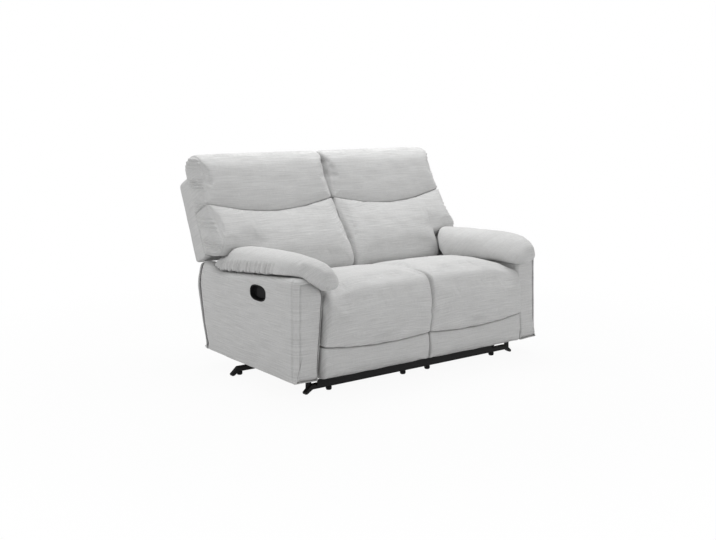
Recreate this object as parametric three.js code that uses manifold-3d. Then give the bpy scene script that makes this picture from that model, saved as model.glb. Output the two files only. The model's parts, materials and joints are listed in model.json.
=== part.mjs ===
// Two-seat reclining sofa: two upholstered recliner seats between fixed padded arms, on a steel base.
// Millimetres, +Z up, front towards -Y, mirror plane X = 0. "Left" is -X, as seen from the front.
import * as THREE from 'three';
import { mergeVertices } from 'three/addons/utils/BufferGeometryUtils.js';
import Module from 'manifold-3d';

const wasm = await Module();
wasm.setup();

// Fits between neighbouring pieces
const gap = 0.3;
const runningGap = 2;
const weld = 1e-3;
const overrun = 5;

// Seats, across and up: everything else follows from them
const centreGap = 3;
const seatWidth = 590.5;
const seatDepth = 645;
const seatNose = 17;
const seatBottom = 328;
const seatThickness = 181;
const seatInner = centreGap / 2;
const seatOuter = seatInner + seatWidth;
const seatFront = -seatNose;
const seatRear = seatFront + seatDepth;
const seatCrown = seatBottom + seatThickness;
const seatRows = 11;
const seatPoints = 38;
const seatEndDepthShare = 0.975;
const seatEndPower = 3;
const seatFrameHeight = 47;
const seatFrameThickness = 22;
const seatFrameInset = 12;
const springRadius = 2;
const springCount = 4;
const springWaves = 5;
const springSwing = 18;
const springSteps = 14;
const springTieRadius = 1.8;
const springTieShares = [0.3, 0.7];

// Arms
const seatArmGap = 6;
const armWidth = 139;
const armAboveSeat = 21;
const skirtHeight = 77;
const armInner = seatOuter + seatArmGap;
const armOuter = armInner + armWidth;
const armHeight = seatCrown + armAboveSeat;
const armCoverWall = 16;
const armFrontThickness = 22;
const armFootInnerShare = 0.19;
const armOpenFootShare = 0.86;
const armFrameWidth = 45;
const armFrameRail = 60;
const armFrameEase = 4;

// Release handles, one on the outer side of each arm
const handleY = 310;
const handleDrop = 102;
const handleZ = armHeight - handleDrop;
const handleLength = 136;
const handleHeight = 72;
const handleFlange = 4;
const handleProud = 3;
const handleDepth = 24;
const handleWall = 2.5;
const paddleThickness = 6;
const paddleRun = 72;
const paddleBarrel = 4.5;
const ovalSides = 20;

// Hinges of the backs, behind and below the seats
const hingeSetback = 102;
const hingeDrop = 48;
const reclineY = seatRear + hingeSetback;
const armPastHinge = 200;
const armDepth = reclineY + armPastHinge;
const reclineZ = seatBottom - hingeDrop;
const backLean = THREE.MathUtils.degToRad(27);
const reclineRange = THREE.MathUtils.degToRad(25);

// Arm pillows
const pillowRise = 92;
const pillowDroop = 53;
const pillowOverhang = 62;
const pillowPastHinge = 32;
const pillowInwards = 65;
const pillowProud = 8;
const pillowTop = armHeight + pillowRise;
const pillowInnerBottom = armHeight - pillowDroop;
const pillowRear = reclineY + pillowPastHinge;
const pillowFront = -pillowOverhang;
const pillowInner = armInner - pillowInwards;
const pillowOuter = armOuter + pillowProud;
const pillowRows = 12;
const pillowPoints = 30;
const pillowEndShare = 0.3;
const pillowPower = 3.2;
const pillowWidthEaseShare = 0.8;
const seatUnderPillow = 8.5;
const seatEndHeightShare = 1 - (pillowDroop + seatUnderPillow) / seatThickness;

// Steel base
const glideHeight = 24;
const glideRadius = 14;
const glideStemRadius = 7;
const barHeight = 20;
const barDepth = 24;
const barTipReach = 40;
const barTabWidth = 30;
const barTabThickness = 5;
const armTabShare = 0.446;
const armTabX = armInner + armTabShare * armWidth;
const frontBarY = 90;
const frontBarPast = 8;
const frontBarReach = armTabX + frontBarPast;
const sideGlideStep = 45;
const sideGlideX = armTabX + sideGlideStep;
const rearBarPast = 12;
const rearBarReach = sideGlideX + barTipReach + rearBarPast;
const railInset = 80;
const railInner = 76;
const railOuter = seatOuter - railInset;
const railHeight = 30;
const railThickness = 5;
const railFrontReach = 18;
const railFront = frontBarY - railFrontReach;
const uprightDepth = 60;
const railRear = reclineY + uprightDepth / 2;
const rearGlideInset = 35;
const crossBeamSetback = 45;
const crossBeamDepth = 28;
const pinRadius = 5;
const linkThickness = 4;
const linkLayer = 7;
const linkHalfWidth = 12;
const tubeRadius = 7;
const tubeMiddleShare = 0.5;

// Steel carriers under the seats
const carrierHeight = 36;
const carrierFront = 92;
const carrierInset = 12;
const carrierRear = seatRear - carrierInset;
const carrierTubeHeight = 22;
const carrierTubeDepth = 24;
const carrierTubeInset = 41;

// Parallel swing links that carry each seat forward as its back reclines
const swingHalfAngle = THREE.MathUtils.degToRad(7);
const swingPinRise = 8.2;
const frontSwingY = 260;
const rearSwingInset = 128;
const rearSwingY = seatRear - rearSwingInset;
const rearBarSetback = 45;
const rearBarY = rearSwingY + rearBarSetback;

// Footrests: the board turns about a line at the seat's top front edge
const poleY = 0;
const poleRise = 132;
const footDrop = 18;
const poleZ = seatBottom + poleRise;
const driveY = 136;
const drivePinRise = 17.6;
const armRunZ = poleRise + footDrop;
const carrierTubeSetback = 32;
const boardSetback = 25;
const linkClearance = 2.5;
const seatFrameSetback = 27;
const seatStepClearance = 9.8;
const boardThickness = 15;
const padStep = 3;
const padTopDrop = 20;
const boardFootInset = 12;
const boardTopInset = 42;
const padBottom = skirtHeight + padStep;
const padTop = poleZ - padTopDrop;
const boardBottom = padBottom + boardFootInset;
const boardTop = padTop - boardTopInset;
const padFront = -24;
const padBulge = 16;
const padFlare = 10;
const chaiseInset = 4;
const padOuter = armInner + padFlare;
const chaiseOuter = armInner - chaiseInset;
const footrestHeight = 145;
const seamEnd = padBottom + footrestHeight;
const seamDip = 24;
const seamGroove = 3;
const padRows = 10;
const chaisePoints = 22;
const footrestPoints = 18;
const padEndShare = 0.6;
const padPower = 5;
const padRoundShare = 1 / 6;
const boardInset = 20;
const bracketPlate = 4;
const bracketBarRise = 98;
const bracketBarZ = boardBottom + bracketBarRise;
const bracketBarHeight = 30;

// Backs: drawn upright about the recline hinge, then leaned back
const backOverArm = 5;
const backSideGap = 10;
const backOuter = armOuter + backOverArm;
const backNarrow = armInner - backSideGap;
const shellRear = 62;
const shellFront = -52;
const shellBottom = 50;
const shellHeight = 645;
const shellTop = shellBottom + shellHeight;
const wingDrop = 107.8;
const wingBottom = (pillowTop - reclineZ) / Math.cos(backLean) - wingDrop;
const shellWall = 22;
const backBoard = 15;
const backRail = 50;
const strapWidth = 30;
const strapThickness = 5;
const strapTop = 200;
const cushionRear = shellFront - strapThickness - 3 * gap;
const lumbarOverSeat = 102;
const tailBehindSeat = 8;
const lumbarTuck = 195;
const lumbarDepth = hingeSetback + cushionRear + lumbarOverSeat;
const tailDepth = hingeSetback + cushionRear - tailBehindSeat;
const lumbarTail = seatCrown - reclineZ - lumbarTuck;
const headDepth = 132;
const lumbarWing = 198;
const smileEnd = wingBottom + lumbarWing;
const smileDip = 54;
const headRise = 89;
const headTop = shellTop + headRise;
const cushionEndShare = 0.62;
const cushionPower = 6;
const cushionRoundShare = 0.2;
const backRows = 13;
const lumbarPoints = 22;
const lumbarBellyShare = 0.2;
const wingBendShare = 0.78;
const wingEndShare = 0.307;
const headPoints = 24;
const headEndShare = 0.4;
const headEndPower = 8;
const headSlopeShare = 0.6;
const headBulgeShare = 0.4;
const apronDrop = 30;
const apronTop = reclineZ - apronDrop;
const apronSetback = 55;
const apronRear = railRear + apronSetback;
const apronThickness = 22;

// Facets
const arcSteps = 4;
const rodSides = 8;
const wireSides = 4;

// Pin holes, wide enough for a faceted pin to turn in a faceted hole
const pinHole = (pinRadius + gap) / Math.cos(Math.PI / rodSides);
const openPinHole = pinHole + 2 * runningGap;

// Materials
const fabric = (shade) => new THREE.MeshStandardMaterial({ color: shade, roughness: 0.95, metalness: 0 });
const fabricCover = fabric(0xbdbdbb);
const fabricCushion = fabric(0xc4c4c2);
const steelBlack = new THREE.MeshStandardMaterial({ color: 0x1a1a1c, roughness: 0.45, metalness: 0.7 });
const steelWire = new THREE.MeshStandardMaterial({ color: 0x8c8f92, roughness: 0.4, metalness: 0.9 });
const plywood = new THREE.MeshStandardMaterial({ color: 0xb98f5f, roughness: 0.8, metalness: 0 });
const plasticBlack = new THREE.MeshStandardMaterial({ color: 0x161617, roughness: 0.5, metalness: 0 });

// Booleans
function toSolid(geometry) {
  const bare = new THREE.BufferGeometry();
  bare.setAttribute('position', geometry.getAttribute('position').clone());
  if (geometry.index) bare.setIndex(geometry.index.clone());
  const merged = mergeVertices(bare, weld);
  const vertProperties = new Float32Array(merged.getAttribute('position').array);
  const triVerts = new Uint32Array(merged.index.array);
  return new wasm.Manifold(new wasm.Mesh({ numProp: 3, vertProperties, triVerts }));
}

function toGeometry(solid) {
  const { vertProperties, triVerts } = solid.getMesh();
  const geometry = new THREE.BufferGeometry();
  geometry.setAttribute('position', new THREE.BufferAttribute(vertProperties, 3));
  geometry.setIndex(new THREE.BufferAttribute(triVerts, 1));
  geometry.computeVertexNormals();
  return geometry;
}

const join = (...pieces) => toGeometry(pieces.map(toSolid).reduce((all, piece) => all.add(piece)));
const cut = (body, ...tools) => toGeometry(
  tools.map(toSolid).reduce((rest, tool) => rest.subtract(tool), toSolid(body)),
);
const common = (one, other) => toGeometry(toSolid(one).intersect(toSolid(other)));

// Mirror image across X = 0, with its faces turned the right way out again
function mirrored(geometry) {
  const copy = geometry.index ? geometry.toNonIndexed() : geometry.clone();
  copy.applyMatrix4(new THREE.Matrix4().makeScale(-1, 1, 1));
  const place = copy.getAttribute('position');
  const corner = (index) => new THREE.Vector3().fromBufferAttribute(place, index);
  for (let first = 0; first < place.count; first += 3) {
    const second = corner(first + 1);
    const third = corner(first + 2);
    place.setXYZ(first + 1, ...third);
    place.setXYZ(first + 2, ...second);
  }
  copy.computeVertexNormals();
  return copy;
}

// Outline with rounded corners: each point is [across, up, corner radius]
function outline(points) {
  const shape = new THREE.Shape();
  points.forEach(([across, up, radius = 0], index) => {
    const corner = new THREE.Vector2(across, up);
    const arms = [points.at(index - 1), points[(index + 1) % points.length]].map(([a, b]) => {
      const arm = new THREE.Vector2(a, b).sub(corner);
      return arm.setLength(Math.min(radius, arm.length() / 2)).add(corner);
    });
    if (index === 0) shape.moveTo(...arms[0]);
    else shape.lineTo(...arms[0]);
    if (radius > 0) shape.quadraticCurveTo(...corner, ...arms[1]);
  });
  shape.closePath();
  return shape;
}

// Points given as shares of a box from low to high; the third share is of the box's shorter side
function fromShares(shares, low, high) {
  const width = high[0] - low[0];
  const height = high[1] - low[1];
  const side = Math.min(width, height);
  return shares.map(([a, b, round = 0]) => [low[0] + a * width, low[1] + b * height, round * side]);
}

const axisX = new THREE.Vector3(1, 0, 0);
const axisY = new THREE.Vector3(0, 1, 0);
const axisZ = new THREE.Vector3(0, 0, 1);

function slab(shape, from, to, basis, direction) {
  const geometry = new THREE.ExtrudeGeometry(shape, {
    depth: Math.abs(to - from), bevelEnabled: false, curveSegments: arcSteps,
  });
  return geometry.applyMatrix4(basis).translate(...direction.clone().multiplyScalar(from));
}

// Outline in Y and Z swept along X, outline in X and Z swept along Y, outline in X and Y swept along Z
const alongX = (shape, from, to) => slab(
  shape, from, to, new THREE.Matrix4().makeBasis(axisY, axisZ, axisX), axisX,
);
const alongY = (shape, from, to) => slab(
  shape, to, from, new THREE.Matrix4().makeBasis(axisX, axisZ, axisY.clone().negate()), axisY,
);
const alongZ = (shape, from, to) => slab(shape, from, to, new THREE.Matrix4(), axisZ);

function block([x0, x1], [y0, y1], [z0, z1]) {
  const box = new THREE.BoxGeometry(x1 - x0, y1 - y0, z1 - z0);
  return box.translate((x0 + x1) / 2, (y0 + y1) / 2, (z0 + z1) / 2);
}

function rodX(radius, from, to, y, z) {
  const rod = new THREE.CylinderGeometry(radius, radius, Math.abs(to - from), rodSides);
  return rod.rotateZ(Math.PI / 2).translate((from + to) / 2, y, z);
}

// Flat bar with round ends between two pivots in the Y-Z plane
function linkPlate([y0, z0], [y1, z1], from, to, halfWidth = linkHalfWidth) {
  const angle = Math.atan2(z1 - z0, y1 - y0);
  const shape = new THREE.Shape();
  shape.absarc(y0, z0, halfWidth, angle + Math.PI / 2, angle - Math.PI / 2, false);
  shape.absarc(y1, z1, halfWidth, angle - Math.PI / 2, angle + Math.PI / 2, false);
  shape.closePath();
  return alongX(shape, Math.min(from, to), Math.max(from, to));
}

// Closed skin through rings of equally many points, closed by a fan at each end
function loft(rings) {
  const size = rings[0].length;
  const centres = [rings[0], rings.at(-1)].map((ring) => (
    ring.reduce((sum, point) => sum.add(point), new THREE.Vector3()).divideScalar(size)
  ));
  const points = [...rings.flat(), ...centres];
  const faces = [];
  for (let row = 0; row + 1 < rings.length; row += 1) {
    for (let at = 0; at < size; at += 1) {
      const a = row * size + at;
      const b = row * size + ((at + 1) % size);
      faces.push([a, b, b + size], [a, b + size, a + size]);
    }
  }
  const last = (rings.length - 1) * size;
  for (let at = 0; at < size; at += 1) {
    const next = (at + 1) % size;
    faces.push([rings.length * size, next, at], [rings.length * size + 1, last + at, last + next]);
  }
  const volume = faces.reduce((sum, [a, b, c]) => sum + points[a].dot(points[b].clone().cross(points[c])), 0);
  const turned = volume < 0 ? faces.map(([a, b, c]) => [a, c, b]) : faces;
  const geometry = new THREE.BufferGeometry().setFromPoints(points);
  geometry.setIndex(turned.flat());
  geometry.computeVertexNormals();
  return geometry;
}

// Places from -1 to 1, closer together towards both ends
const stations = (count) => Array.from(
  { length: count }, (_, row) => -Math.cos(Math.PI * row / (count - 1)),
);

// How full a cushion is at a place from -1 to 1: 1 over the middle, down to endShare at the ends
const fullness = (place, endShare, power) => (
  endShare + (1 - endShare) * (1 - Math.abs(place) ** power) ** (1 / power)
);

const ringPoints = (points, count) => outline(points).getSpacedPoints(count).slice(0, count);
const mix = (from, to, share) => from + (to - from) * share;
const easeShare = (value, from, to) => THREE.MathUtils.smoothstep(value, from, to);

const sofa = new THREE.Group();

function addPiece(parent, name, geometry, material) {
  const mesh = new THREE.Mesh(geometry, material);
  mesh.name = name;
  parent.add(mesh);
  return mesh;
}

// One piece for each half of the sofa, from the right-hand one
function addPair(parent, name, geometry, material) {
  addPiece(parent, `${name}_right`, geometry, material);
  addPiece(parent, `${name}_left`, mirrored(geometry), material);
}

// Arm section and side outline, as shares of the arm's width or depth and of its height over the skirt
const armFrontShares = [
  [armFootInnerShare, 0], [1, 0], [1, 1, 0.22], [0.62, 1, 0.3],
  [0.2, 0.95, 0.3], [0, 0.865, 0.1], [0, 0.76],
];
const armSideShares = [
  [0, 0], [0.892, 0], [1, 0.735, 0.2], [0.972, 0.885, 0.06], [0.75, 0.87, 0.1], [0.39, 0.93, 0.2],
  [0.05, 1], [0, 1],
];
const armSection = (grow) => outline(fromShares(
  armFrontShares, [armInner - grow, skirtHeight - grow], [armOuter + grow, armHeight + grow],
));
const armProfile = (grow) => outline(fromShares(
  armSideShares, [0 - grow, skirtHeight - grow], [armDepth + grow, armHeight + grow],
));

// Solid envelope of an arm, from a given front plane back, grown by a clearance
function armBody(grow, front) {
  const length = alongY(armSection(grow), front, armDepth + overrun);
  const profile = alongX(armProfile(grow), armInner - overrun, armOuter + overrun);
  return common(length, profile);
}

function buildArmCover() {
  const outer = armBody(0, armFrontThickness + gap);
  const hollow = armBody(-armCoverWall, armFrontThickness - overrun);
  const openFoot = block(
    [armInner + 2 * armCoverWall, armOuter - armCoverWall],
    [armFrontThickness - overrun, armDepth * armOpenFootShare],
    [skirtHeight - overrun, skirtHeight + 2 * armCoverWall],
  );
  return cut(outer, hollow, openFoot, handleSocket(handleWall + gap));
}

function handleOval(grow) {
  const halfLength = handleLength / 2 - handleFlange + grow;
  const halfHeight = handleHeight / 2 - handleFlange + grow;
  const oval = new THREE.EllipseCurve(handleY, handleZ, halfLength, halfHeight);
  return new THREE.Shape(oval.getPoints(ovalSides).slice(0, ovalSides));
}

function handleSocket(grow) {
  return alongX(handleOval(grow - handleWall), armOuter - handleDepth - gap, armOuter + overrun);
}

function buildHandleBezel() {
  const cup = alongX(handleOval(0), armOuter - handleDepth, armOuter + handleProud);
  const flange = alongX(handleOval(handleFlange), armOuter + gap, armOuter + handleProud);
  const hollow = alongX(handleOval(-handleWall), armOuter - handleDepth + handleWall, armOuter + overrun);
  return cut(join(cup, flange), hollow);
}

const paddleX = armOuter - paddleBarrel - runningGap;
const paddlePivotY = handleY - paddleRun / 2 - paddleBarrel;

// Least half height of the cup's faceted hollow at a distance from its middle
function cupHalfHeight(distance) {
  const facet = Math.cos(Math.PI / ovalSides);
  const halfLength = facet * (handleLength / 2 - handleFlange - handleWall);
  const halfHeight = facet * (handleHeight / 2 - handleFlange - handleWall);
  return halfHeight * Math.sqrt(1 - (distance / halfLength) ** 2);
}

const paddleShares = [
  [0, 0.2, 0.1], [0.5, 0, 0.3], [0.9, 0.1, 0.2], [1, 0.5, 0.2], [0.9, 0.9, 0.2], [0.5, 1, 0.3], [0, 0.8, 0.1],
];

function buildPaddle() {
  const halfHeight = handleHeight / 2 - handleFlange - handleWall - runningGap;
  const low = [paddlePivotY, handleZ - halfHeight];
  const high = [paddlePivotY + paddleRun, handleZ + halfHeight];
  const face = outline(fromShares(paddleShares, low, high));
  const plate = alongX(face, paddleX - paddleThickness / 2, paddleX + paddleThickness / 2);
  const barrelHalf = cupHalfHeight(handleY - paddlePivotY + paddleBarrel) - gap;
  const barrel = new THREE.CylinderGeometry(paddleBarrel, paddleBarrel, 2 * barrelHalf, rodSides);
  return join(plate, barrel.rotateX(Math.PI / 2).translate(paddleX, paddlePivotY, handleZ));
}

function buildArmFrame() {
  const inset = armCoverWall + armFrameEase;
  const profile = alongX(armProfile(-inset), armOuter - inset - armFrameWidth, armOuter - inset);
  const window = alongX(armProfile(-inset - armFrameRail), armInner, armOuter);
  const sill = block(
    [armTabX - barTabWidth / 2, armOuter - inset],
    [armFrontThickness + 2 * armFrameEase, rearBarY + armFrameRail],
    [skirtHeight, skirtHeight + inset + armFrameRail / 2],
  );
  const board = common(profile, armBody(-inset, armFrontThickness + 2 * gap));
  return cut(join(board, sill), window, handleSocket(handleWall + armFrameEase));
}

function buildArmFront() {
  return alongY(armSection(0), 0, armFrontThickness);
}

// Pillow: sections along Y, each the full section drawn towards a centre that wanders along the arm
const pillowShares = [
  [0.22, 0.0, 0.2], [0.04, 0.16, 0.3], [0.03, 0.56, 0.3], [0.26, 0.95, 0.4], [0.62, 1.0, 0.4],
  [0.95, 0.74, 0.3], [1.0, 0.42, 0.2], [0.9, 0.3, 0.1], [0.5, 0.15, 0.1],
];

// Where the sections shrink to, across and up: at the front end, along the middle and at the rear end
const pillowFrontShares = [0.22, 0.2];
const pillowMiddleShares = [0.5, 0.42];
const pillowRearShares = [0.8, 0.26];
const pillowFrontEndShare = 0.2;
const pillowRearStartShare = 0.62;

function buildPillow() {
  const low = [pillowInner, pillowInnerBottom];
  const high = [pillowOuter, pillowTop];
  const full = ringPoints(fromShares(pillowShares, low, high), pillowPoints);
  const rings = stations(pillowRows).map((place) => {
    const along = (place + 1) / 2;
    const y = mix(pillowFront, pillowRear, along);
    const front = 1 - easeShare(along, 0, pillowFrontEndShare);
    const rear = easeShare(along, pillowRearStartShare, 1);
    const size = fullness(place, pillowEndShare, pillowPower);
    const [centreX, centreZ] = pillowMiddleShares.map((middle, axis) => {
      const share = mix(mix(middle, pillowFrontShares[axis], front), pillowRearShares[axis], rear);
      return mix(low[axis], high[axis], share);
    });
    const width = mix(1, size, pillowWidthEaseShare);
    return full.map(({ x, y: z }) => new THREE.Vector3(
      centreX + (x - centreX) * width, y, centreZ + (z - centreZ) * size,
    ));
  });
  return cut(loft(rings), armBody(gap, -gap));
}

function buildArms() {
  addPair(sofa, 'arm_cover', buildArmCover(), fabricCover);
  addPair(sofa, 'arm_front_panel', buildArmFront(), fabricCover);
  addPair(sofa, 'arm_frame', buildArmFrame(), plywood);
  addPair(sofa, 'arm_pillow', buildPillow(), fabricCushion);
  addPair(sofa, 'handle_bezel', buildHandleBezel(), plasticBlack);
  addPair(sofa, 'release_paddle', buildPaddle(), plasticBlack);
}

// Steel base: two floor bars with tips bent down, four rails, cross beams and hinge uprights
const barBottom = glideHeight + gap;
const barTop = barBottom + barHeight;
const railBottom = barTop + gap;
const railTop = railBottom + railHeight;

function buildBar(reach, y) {
  const shoulder = reach - barTipReach;
  const tip = reach - barTipReach / 4;
  const shape = outline([
    [-shoulder, barTop], [-reach, barHeight / 2], [-tip, gap], [-shoulder, barBottom],
    [shoulder, barBottom], [tip, gap], [reach, barHeight / 2], [shoulder, barTop],
  ]);
  const bar = alongY(shape, y - barDepth / 2, y + barDepth / 2);
  const tabs = [-1, 1].map((side) => block(
    [side * armTabX - barTabWidth / 2, side * armTabX + barTabWidth / 2],
    [y - barTabThickness / 2, y + barTabThickness / 2],
    [glideHeight / 2, skirtHeight - gap],
  ));
  const floorSide = block([-reach, reach], [y - barDepth, y + barDepth], [0, barBottom - barHeight / 2]);
  return join(bar, ...tabs.map((tab) => cut(tab, floorSide)));
}

// Half section of a glide, as shares of its radius and height
const glideShares = [[0, 0], [0.8, 0], [1, 0.2], [1, 0.6], [0.6, 1], [0, 1]];

function buildGlide(x, y) {
  const profile = glideShares.map(([r, z]) => new THREE.Vector2(r * glideRadius, z * glideHeight));
  const glide = new THREE.LatheGeometry(profile, rodSides);
  return glide.rotateX(Math.PI / 2).translate(x, y, 0);
}

function buildRailGlide(x, y) {
  const stem = new THREE.CylinderGeometry(glideStemRadius, glideStemRadius, railBottom - gap, rodSides);
  return join(buildGlide(x, y), stem.rotateX(Math.PI / 2).translate(x, y, (railBottom - gap) / 2));
}

// Layers of links beside each rail, counted towards the middle of the seat
const railSides = [
  { face: railInner + railThickness, inward: 1 },
  { face: railOuter - railThickness, inward: -1 },
];
const layer = ({ face, inward }, number) => {
  const near = face + inward * (runningGap + (number - 1) * linkLayer);
  return [near, near + inward * linkThickness].sort((a, b) => a - b);
};

const carrierTop = seatBottom - gap - seatFrameHeight - gap;
const carrierBottom = carrierTop - carrierTubeHeight - carrierHeight / 2;
const swingPivotZ = railBottom + railHeight / 2;
const swingLength = (carrierBottom + swingPinRise - swingPivotZ) / Math.cos(swingHalfAngle);
const frontSwing = [frontSwingY, swingPivotZ];
const rearSwing = [rearSwingY, swingPivotZ];
const swingTop = ([y, z]) => [
  y + swingLength * Math.sin(swingHalfAngle), z + swingLength * Math.cos(swingHalfAngle),
];
const seatTravel = 2 * swingLength * Math.sin(swingHalfAngle);
const hinge = [reclineY, reclineZ];

function buildBaseFrame() {
  const rails = railSides.flatMap(({ face, inward }) => {
    const plate = [face - inward * railThickness, face].sort((a, b) => a - b);
    const head = reclineZ + uprightDepth / 4;
    const rail = alongX(outline([
      [railFront, railBottom], [railRear, railBottom], [railRear, head, uprightDepth / 4],
      [railRear - uprightDepth, head, uprightDepth / 4], [railRear - uprightDepth, railTop],
      [railFront, railTop],
    ]), ...plate);
    const holes = [frontSwing, rearSwing, hinge].map(([y, z]) => (
      rodX(pinHole, plate[0] - overrun, plate[1] + overrun, y, z)
    ));
    return [cut(rail, ...holes)];
  });
  const bothSides = rails.flatMap((rail) => [rail, mirrored(rail)]);
  const beams = [frontBarY + crossBeamSetback, rearBarY + 2 * crossBeamDepth].map((y) => block(
    [railThickness / 2 - railOuter, railOuter - railThickness / 2],
    [y - crossBeamDepth / 2, y + crossBeamDepth / 2],
    [railBottom + railThickness / 2, railTop - railThickness / 2],
  ));
  return join(...bothSides, ...beams);
}

function buildBase() {
  addPiece(sofa, 'base_frame', buildBaseFrame(), steelBlack);
  addPiece(sofa, 'front_bar', buildBar(frontBarReach, frontBarY), steelBlack);
  addPiece(sofa, 'rear_bar', buildBar(rearBarReach, rearBarY), steelBlack);
  addPair(sofa, 'glide_front_outer', buildGlide(railOuter - railThickness, frontBarY), plasticBlack);
  addPair(sofa, 'glide_front_inner', buildGlide(railInner, frontBarY), plasticBlack);
  addPair(sofa, 'glide_side', buildGlide(sideGlideX, rearBarY), plasticBlack);
  const rearGlide = buildRailGlide(railOuter - railThickness / 2, railRear - rearGlideInset);
  addPair(sofa, 'glide_rear', rearGlide, plasticBlack);
  const footHalf = armInner + armFootInnerShare * armWidth - gap;
  const topHalf = armInner - gap;
  const apron = outline([
    [-footHalf, skirtHeight], [footHalf, skirtHeight], [topHalf, apronTop], [-topHalf, apronTop],
  ]);
  addPiece(sofa, 'rear_apron', alongY(apron, apronRear - apronThickness, apronRear), fabricCover);
}

// How far a pin reaches from the outer face of its plate: into the next plate outwards, or inwards
const pinOut = linkLayer - gap;
const pinIn = gap - linkLayer - linkThickness;

// Two alike plates joined by a tube: pins are [place, reach], holes are places
function linkPair(low, high, number, tubeShare, pins, holes = []) {
  const plates = railSides.flatMap((rail) => {
    const plate = layer(rail, number);
    const middle = (plate[0] + plate[1]) / 2;
    const outerFace = rail.inward > 0 ? plate[0] : plate[1];
    const bored = holes.map(([y, z]) => rodX(pinHole, plate[0] - overrun, plate[1] + overrun, y, z));
    const stubs = pins.map(([place, reach]) => (
      rodX(pinRadius, middle, outerFace - rail.inward * reach, ...place)
    ));
    const bare = linkPlate(low, high, ...plate);
    return [bored.length > 0 ? cut(bare, ...bored) : bare, ...stubs];
  });
  const ends = railSides.map((rail) => (layer(rail, number)[0] + layer(rail, number)[1]) / 2);
  const tube = rodX(tubeRadius, ...ends, mix(low[0], high[0], tubeShare), mix(low[1], high[1], tubeShare));
  return join(...plates, tube);
}

const drive = [driveY, carrierBottom + drivePinRise];

// The footrest's arms run down and back just so far that the links' bars pass their tube
const poleRun = driveY - poleY;
const poleFall = poleZ - drive[1];
const linkSpread = tubeRadius + linkHalfWidth + linkClearance;
const armRunY = (poleRun * armRunZ - linkSpread * Math.hypot(poleRun, poleFall)) / poleFall;
const seatFrameFront = poleY + armRunY + linkHalfWidth + seatFrameSetback;
const boardFront = poleY + armRunY - linkHalfWidth - boardSetback;
const elbow = [drive[0] + armRunY, drive[1] - armRunZ];
const foot = [poleY + armRunY, poleZ - armRunZ];
const crank = seatTravel / (2 * Math.sin(reclineRange / 2));
const crankPin = [
  reclineY + crank * Math.sin(reclineRange / 2),
  reclineZ - crank * Math.cos(reclineRange / 2),
];
const pushPin = [carrierRear - linkHalfWidth, crankPin[1]];

function buildCarrier() {
  const sides = railSides.flatMap((rail) => {
    const plate = layer(rail, 2);
    const sideTop = carrierTop - carrierTubeHeight / 2;
    const side = block(plate, [carrierFront, carrierRear], [carrierBottom, sideTop]);
    const ear = linkPlate(pushPin, [pushPin[0], carrierBottom + linkHalfWidth], ...plate);
    const holes = [swingTop(frontSwing), swingTop(rearSwing), drive].map(([y, z]) => (
      rodX(pinHole, plate[0] - overrun, plate[1] + overrun, y, z)
    ));
    const openHole = rodX(openPinHole, plate[0] - overrun, plate[1] + overrun, ...pushPin);
    return [cut(join(side, ear), ...holes, openHole)];
  });
  const tubes = [driveY + carrierTubeSetback, carrierRear - carrierTubeInset].map((y) => block(
    [centreGap + seatFrameInset, seatOuter - seatFrameInset],
    [y - carrierTubeDepth / 2, y + carrierTubeDepth / 2],
    [carrierTop - carrierTubeHeight, carrierTop],
  ));
  return join(...sides, ...tubes);
}

const frameTop = seatBottom - gap;
const frameBottom = frameTop - seatFrameHeight;

function buildSeatFrame() {
  const outer = block(
    [seatInner + seatFrameInset, seatOuter - seatFrameInset],
    [seatFrameFront, seatRear],
    [frameBottom, frameTop],
  );
  const inner = block(
    [seatInner + seatFrameInset + seatFrameThickness, seatOuter - seatFrameInset - seatFrameThickness],
    [seatFrameFront + seatFrameThickness, seatRear - seatFrameThickness],
    [frameBottom - overrun, frameTop + overrun],
  );
  return cut(outer, inner);
}

function buildSprings() {
  const front = seatFrameFront + seatFrameThickness + gap;
  const rear = seatRear - seatFrameThickness - gap;
  const low = seatInner + seatFrameInset + seatFrameThickness;
  const high = seatOuter - seatFrameInset - seatFrameThickness;
  const z = frameTop - springRadius;
  const section = new THREE.Shape().absarc(0, 0, springRadius, 0, 2 * Math.PI, false);
  const wires = Array.from({ length: springCount }, (_, number) => {
    const x = mix(low, high, (2 * number + 1) / (2 * springCount));
    const bends = Array.from({ length: springWaves }, (__, turn) => new THREE.Vector3(
      x + springSwing * (turn % 2 === 0 ? 1 : -1), mix(front, rear, (turn + 1) / (springWaves + 1)), z,
    ));
    const start = [front, front + springSwing].map((y) => new THREE.Vector3(x, y, z));
    const end = [rear - springSwing, rear].map((y) => new THREE.Vector3(x, y, z));
    const path = new THREE.CatmullRomCurve3([...start, ...bends, ...end]);
    return new THREE.ExtrudeGeometry(
      new THREE.Shape(section.getPoints(wireSides).slice(0, wireSides)),
      { extrudePath: path, steps: springSteps, bevelEnabled: false },
    );
  });
  const ties = springTieShares.map((share) => rodX(
    springTieRadius, low + gap, high - gap, mix(front, rear, share), z,
  ));
  return join(...wires, ...ties);
}

// Side section of the seat cushion, nose first, as shares of its depth and height
const seatStep = boardFront + boardThickness + bracketPlate + seatStepClearance;
const seatStepShare = (seatStep - seatFront) / seatDepth;
const seatShares = [
  [seatStepShare, 0, 0.02], [seatStepShare, 0.64], [0.02, 0.65, 0.05], [0, 0.74, 0.1], [0.03, 0.94, 0.2],
  [0.2, 1.0, 0.3],
  [0.5, 0.975, 0.4], [0.8, 0.8, 0.4], [0.97, 0.66, 0.15], [1, 0.5, 0.1], [1, 0, 0.02],
];

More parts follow.
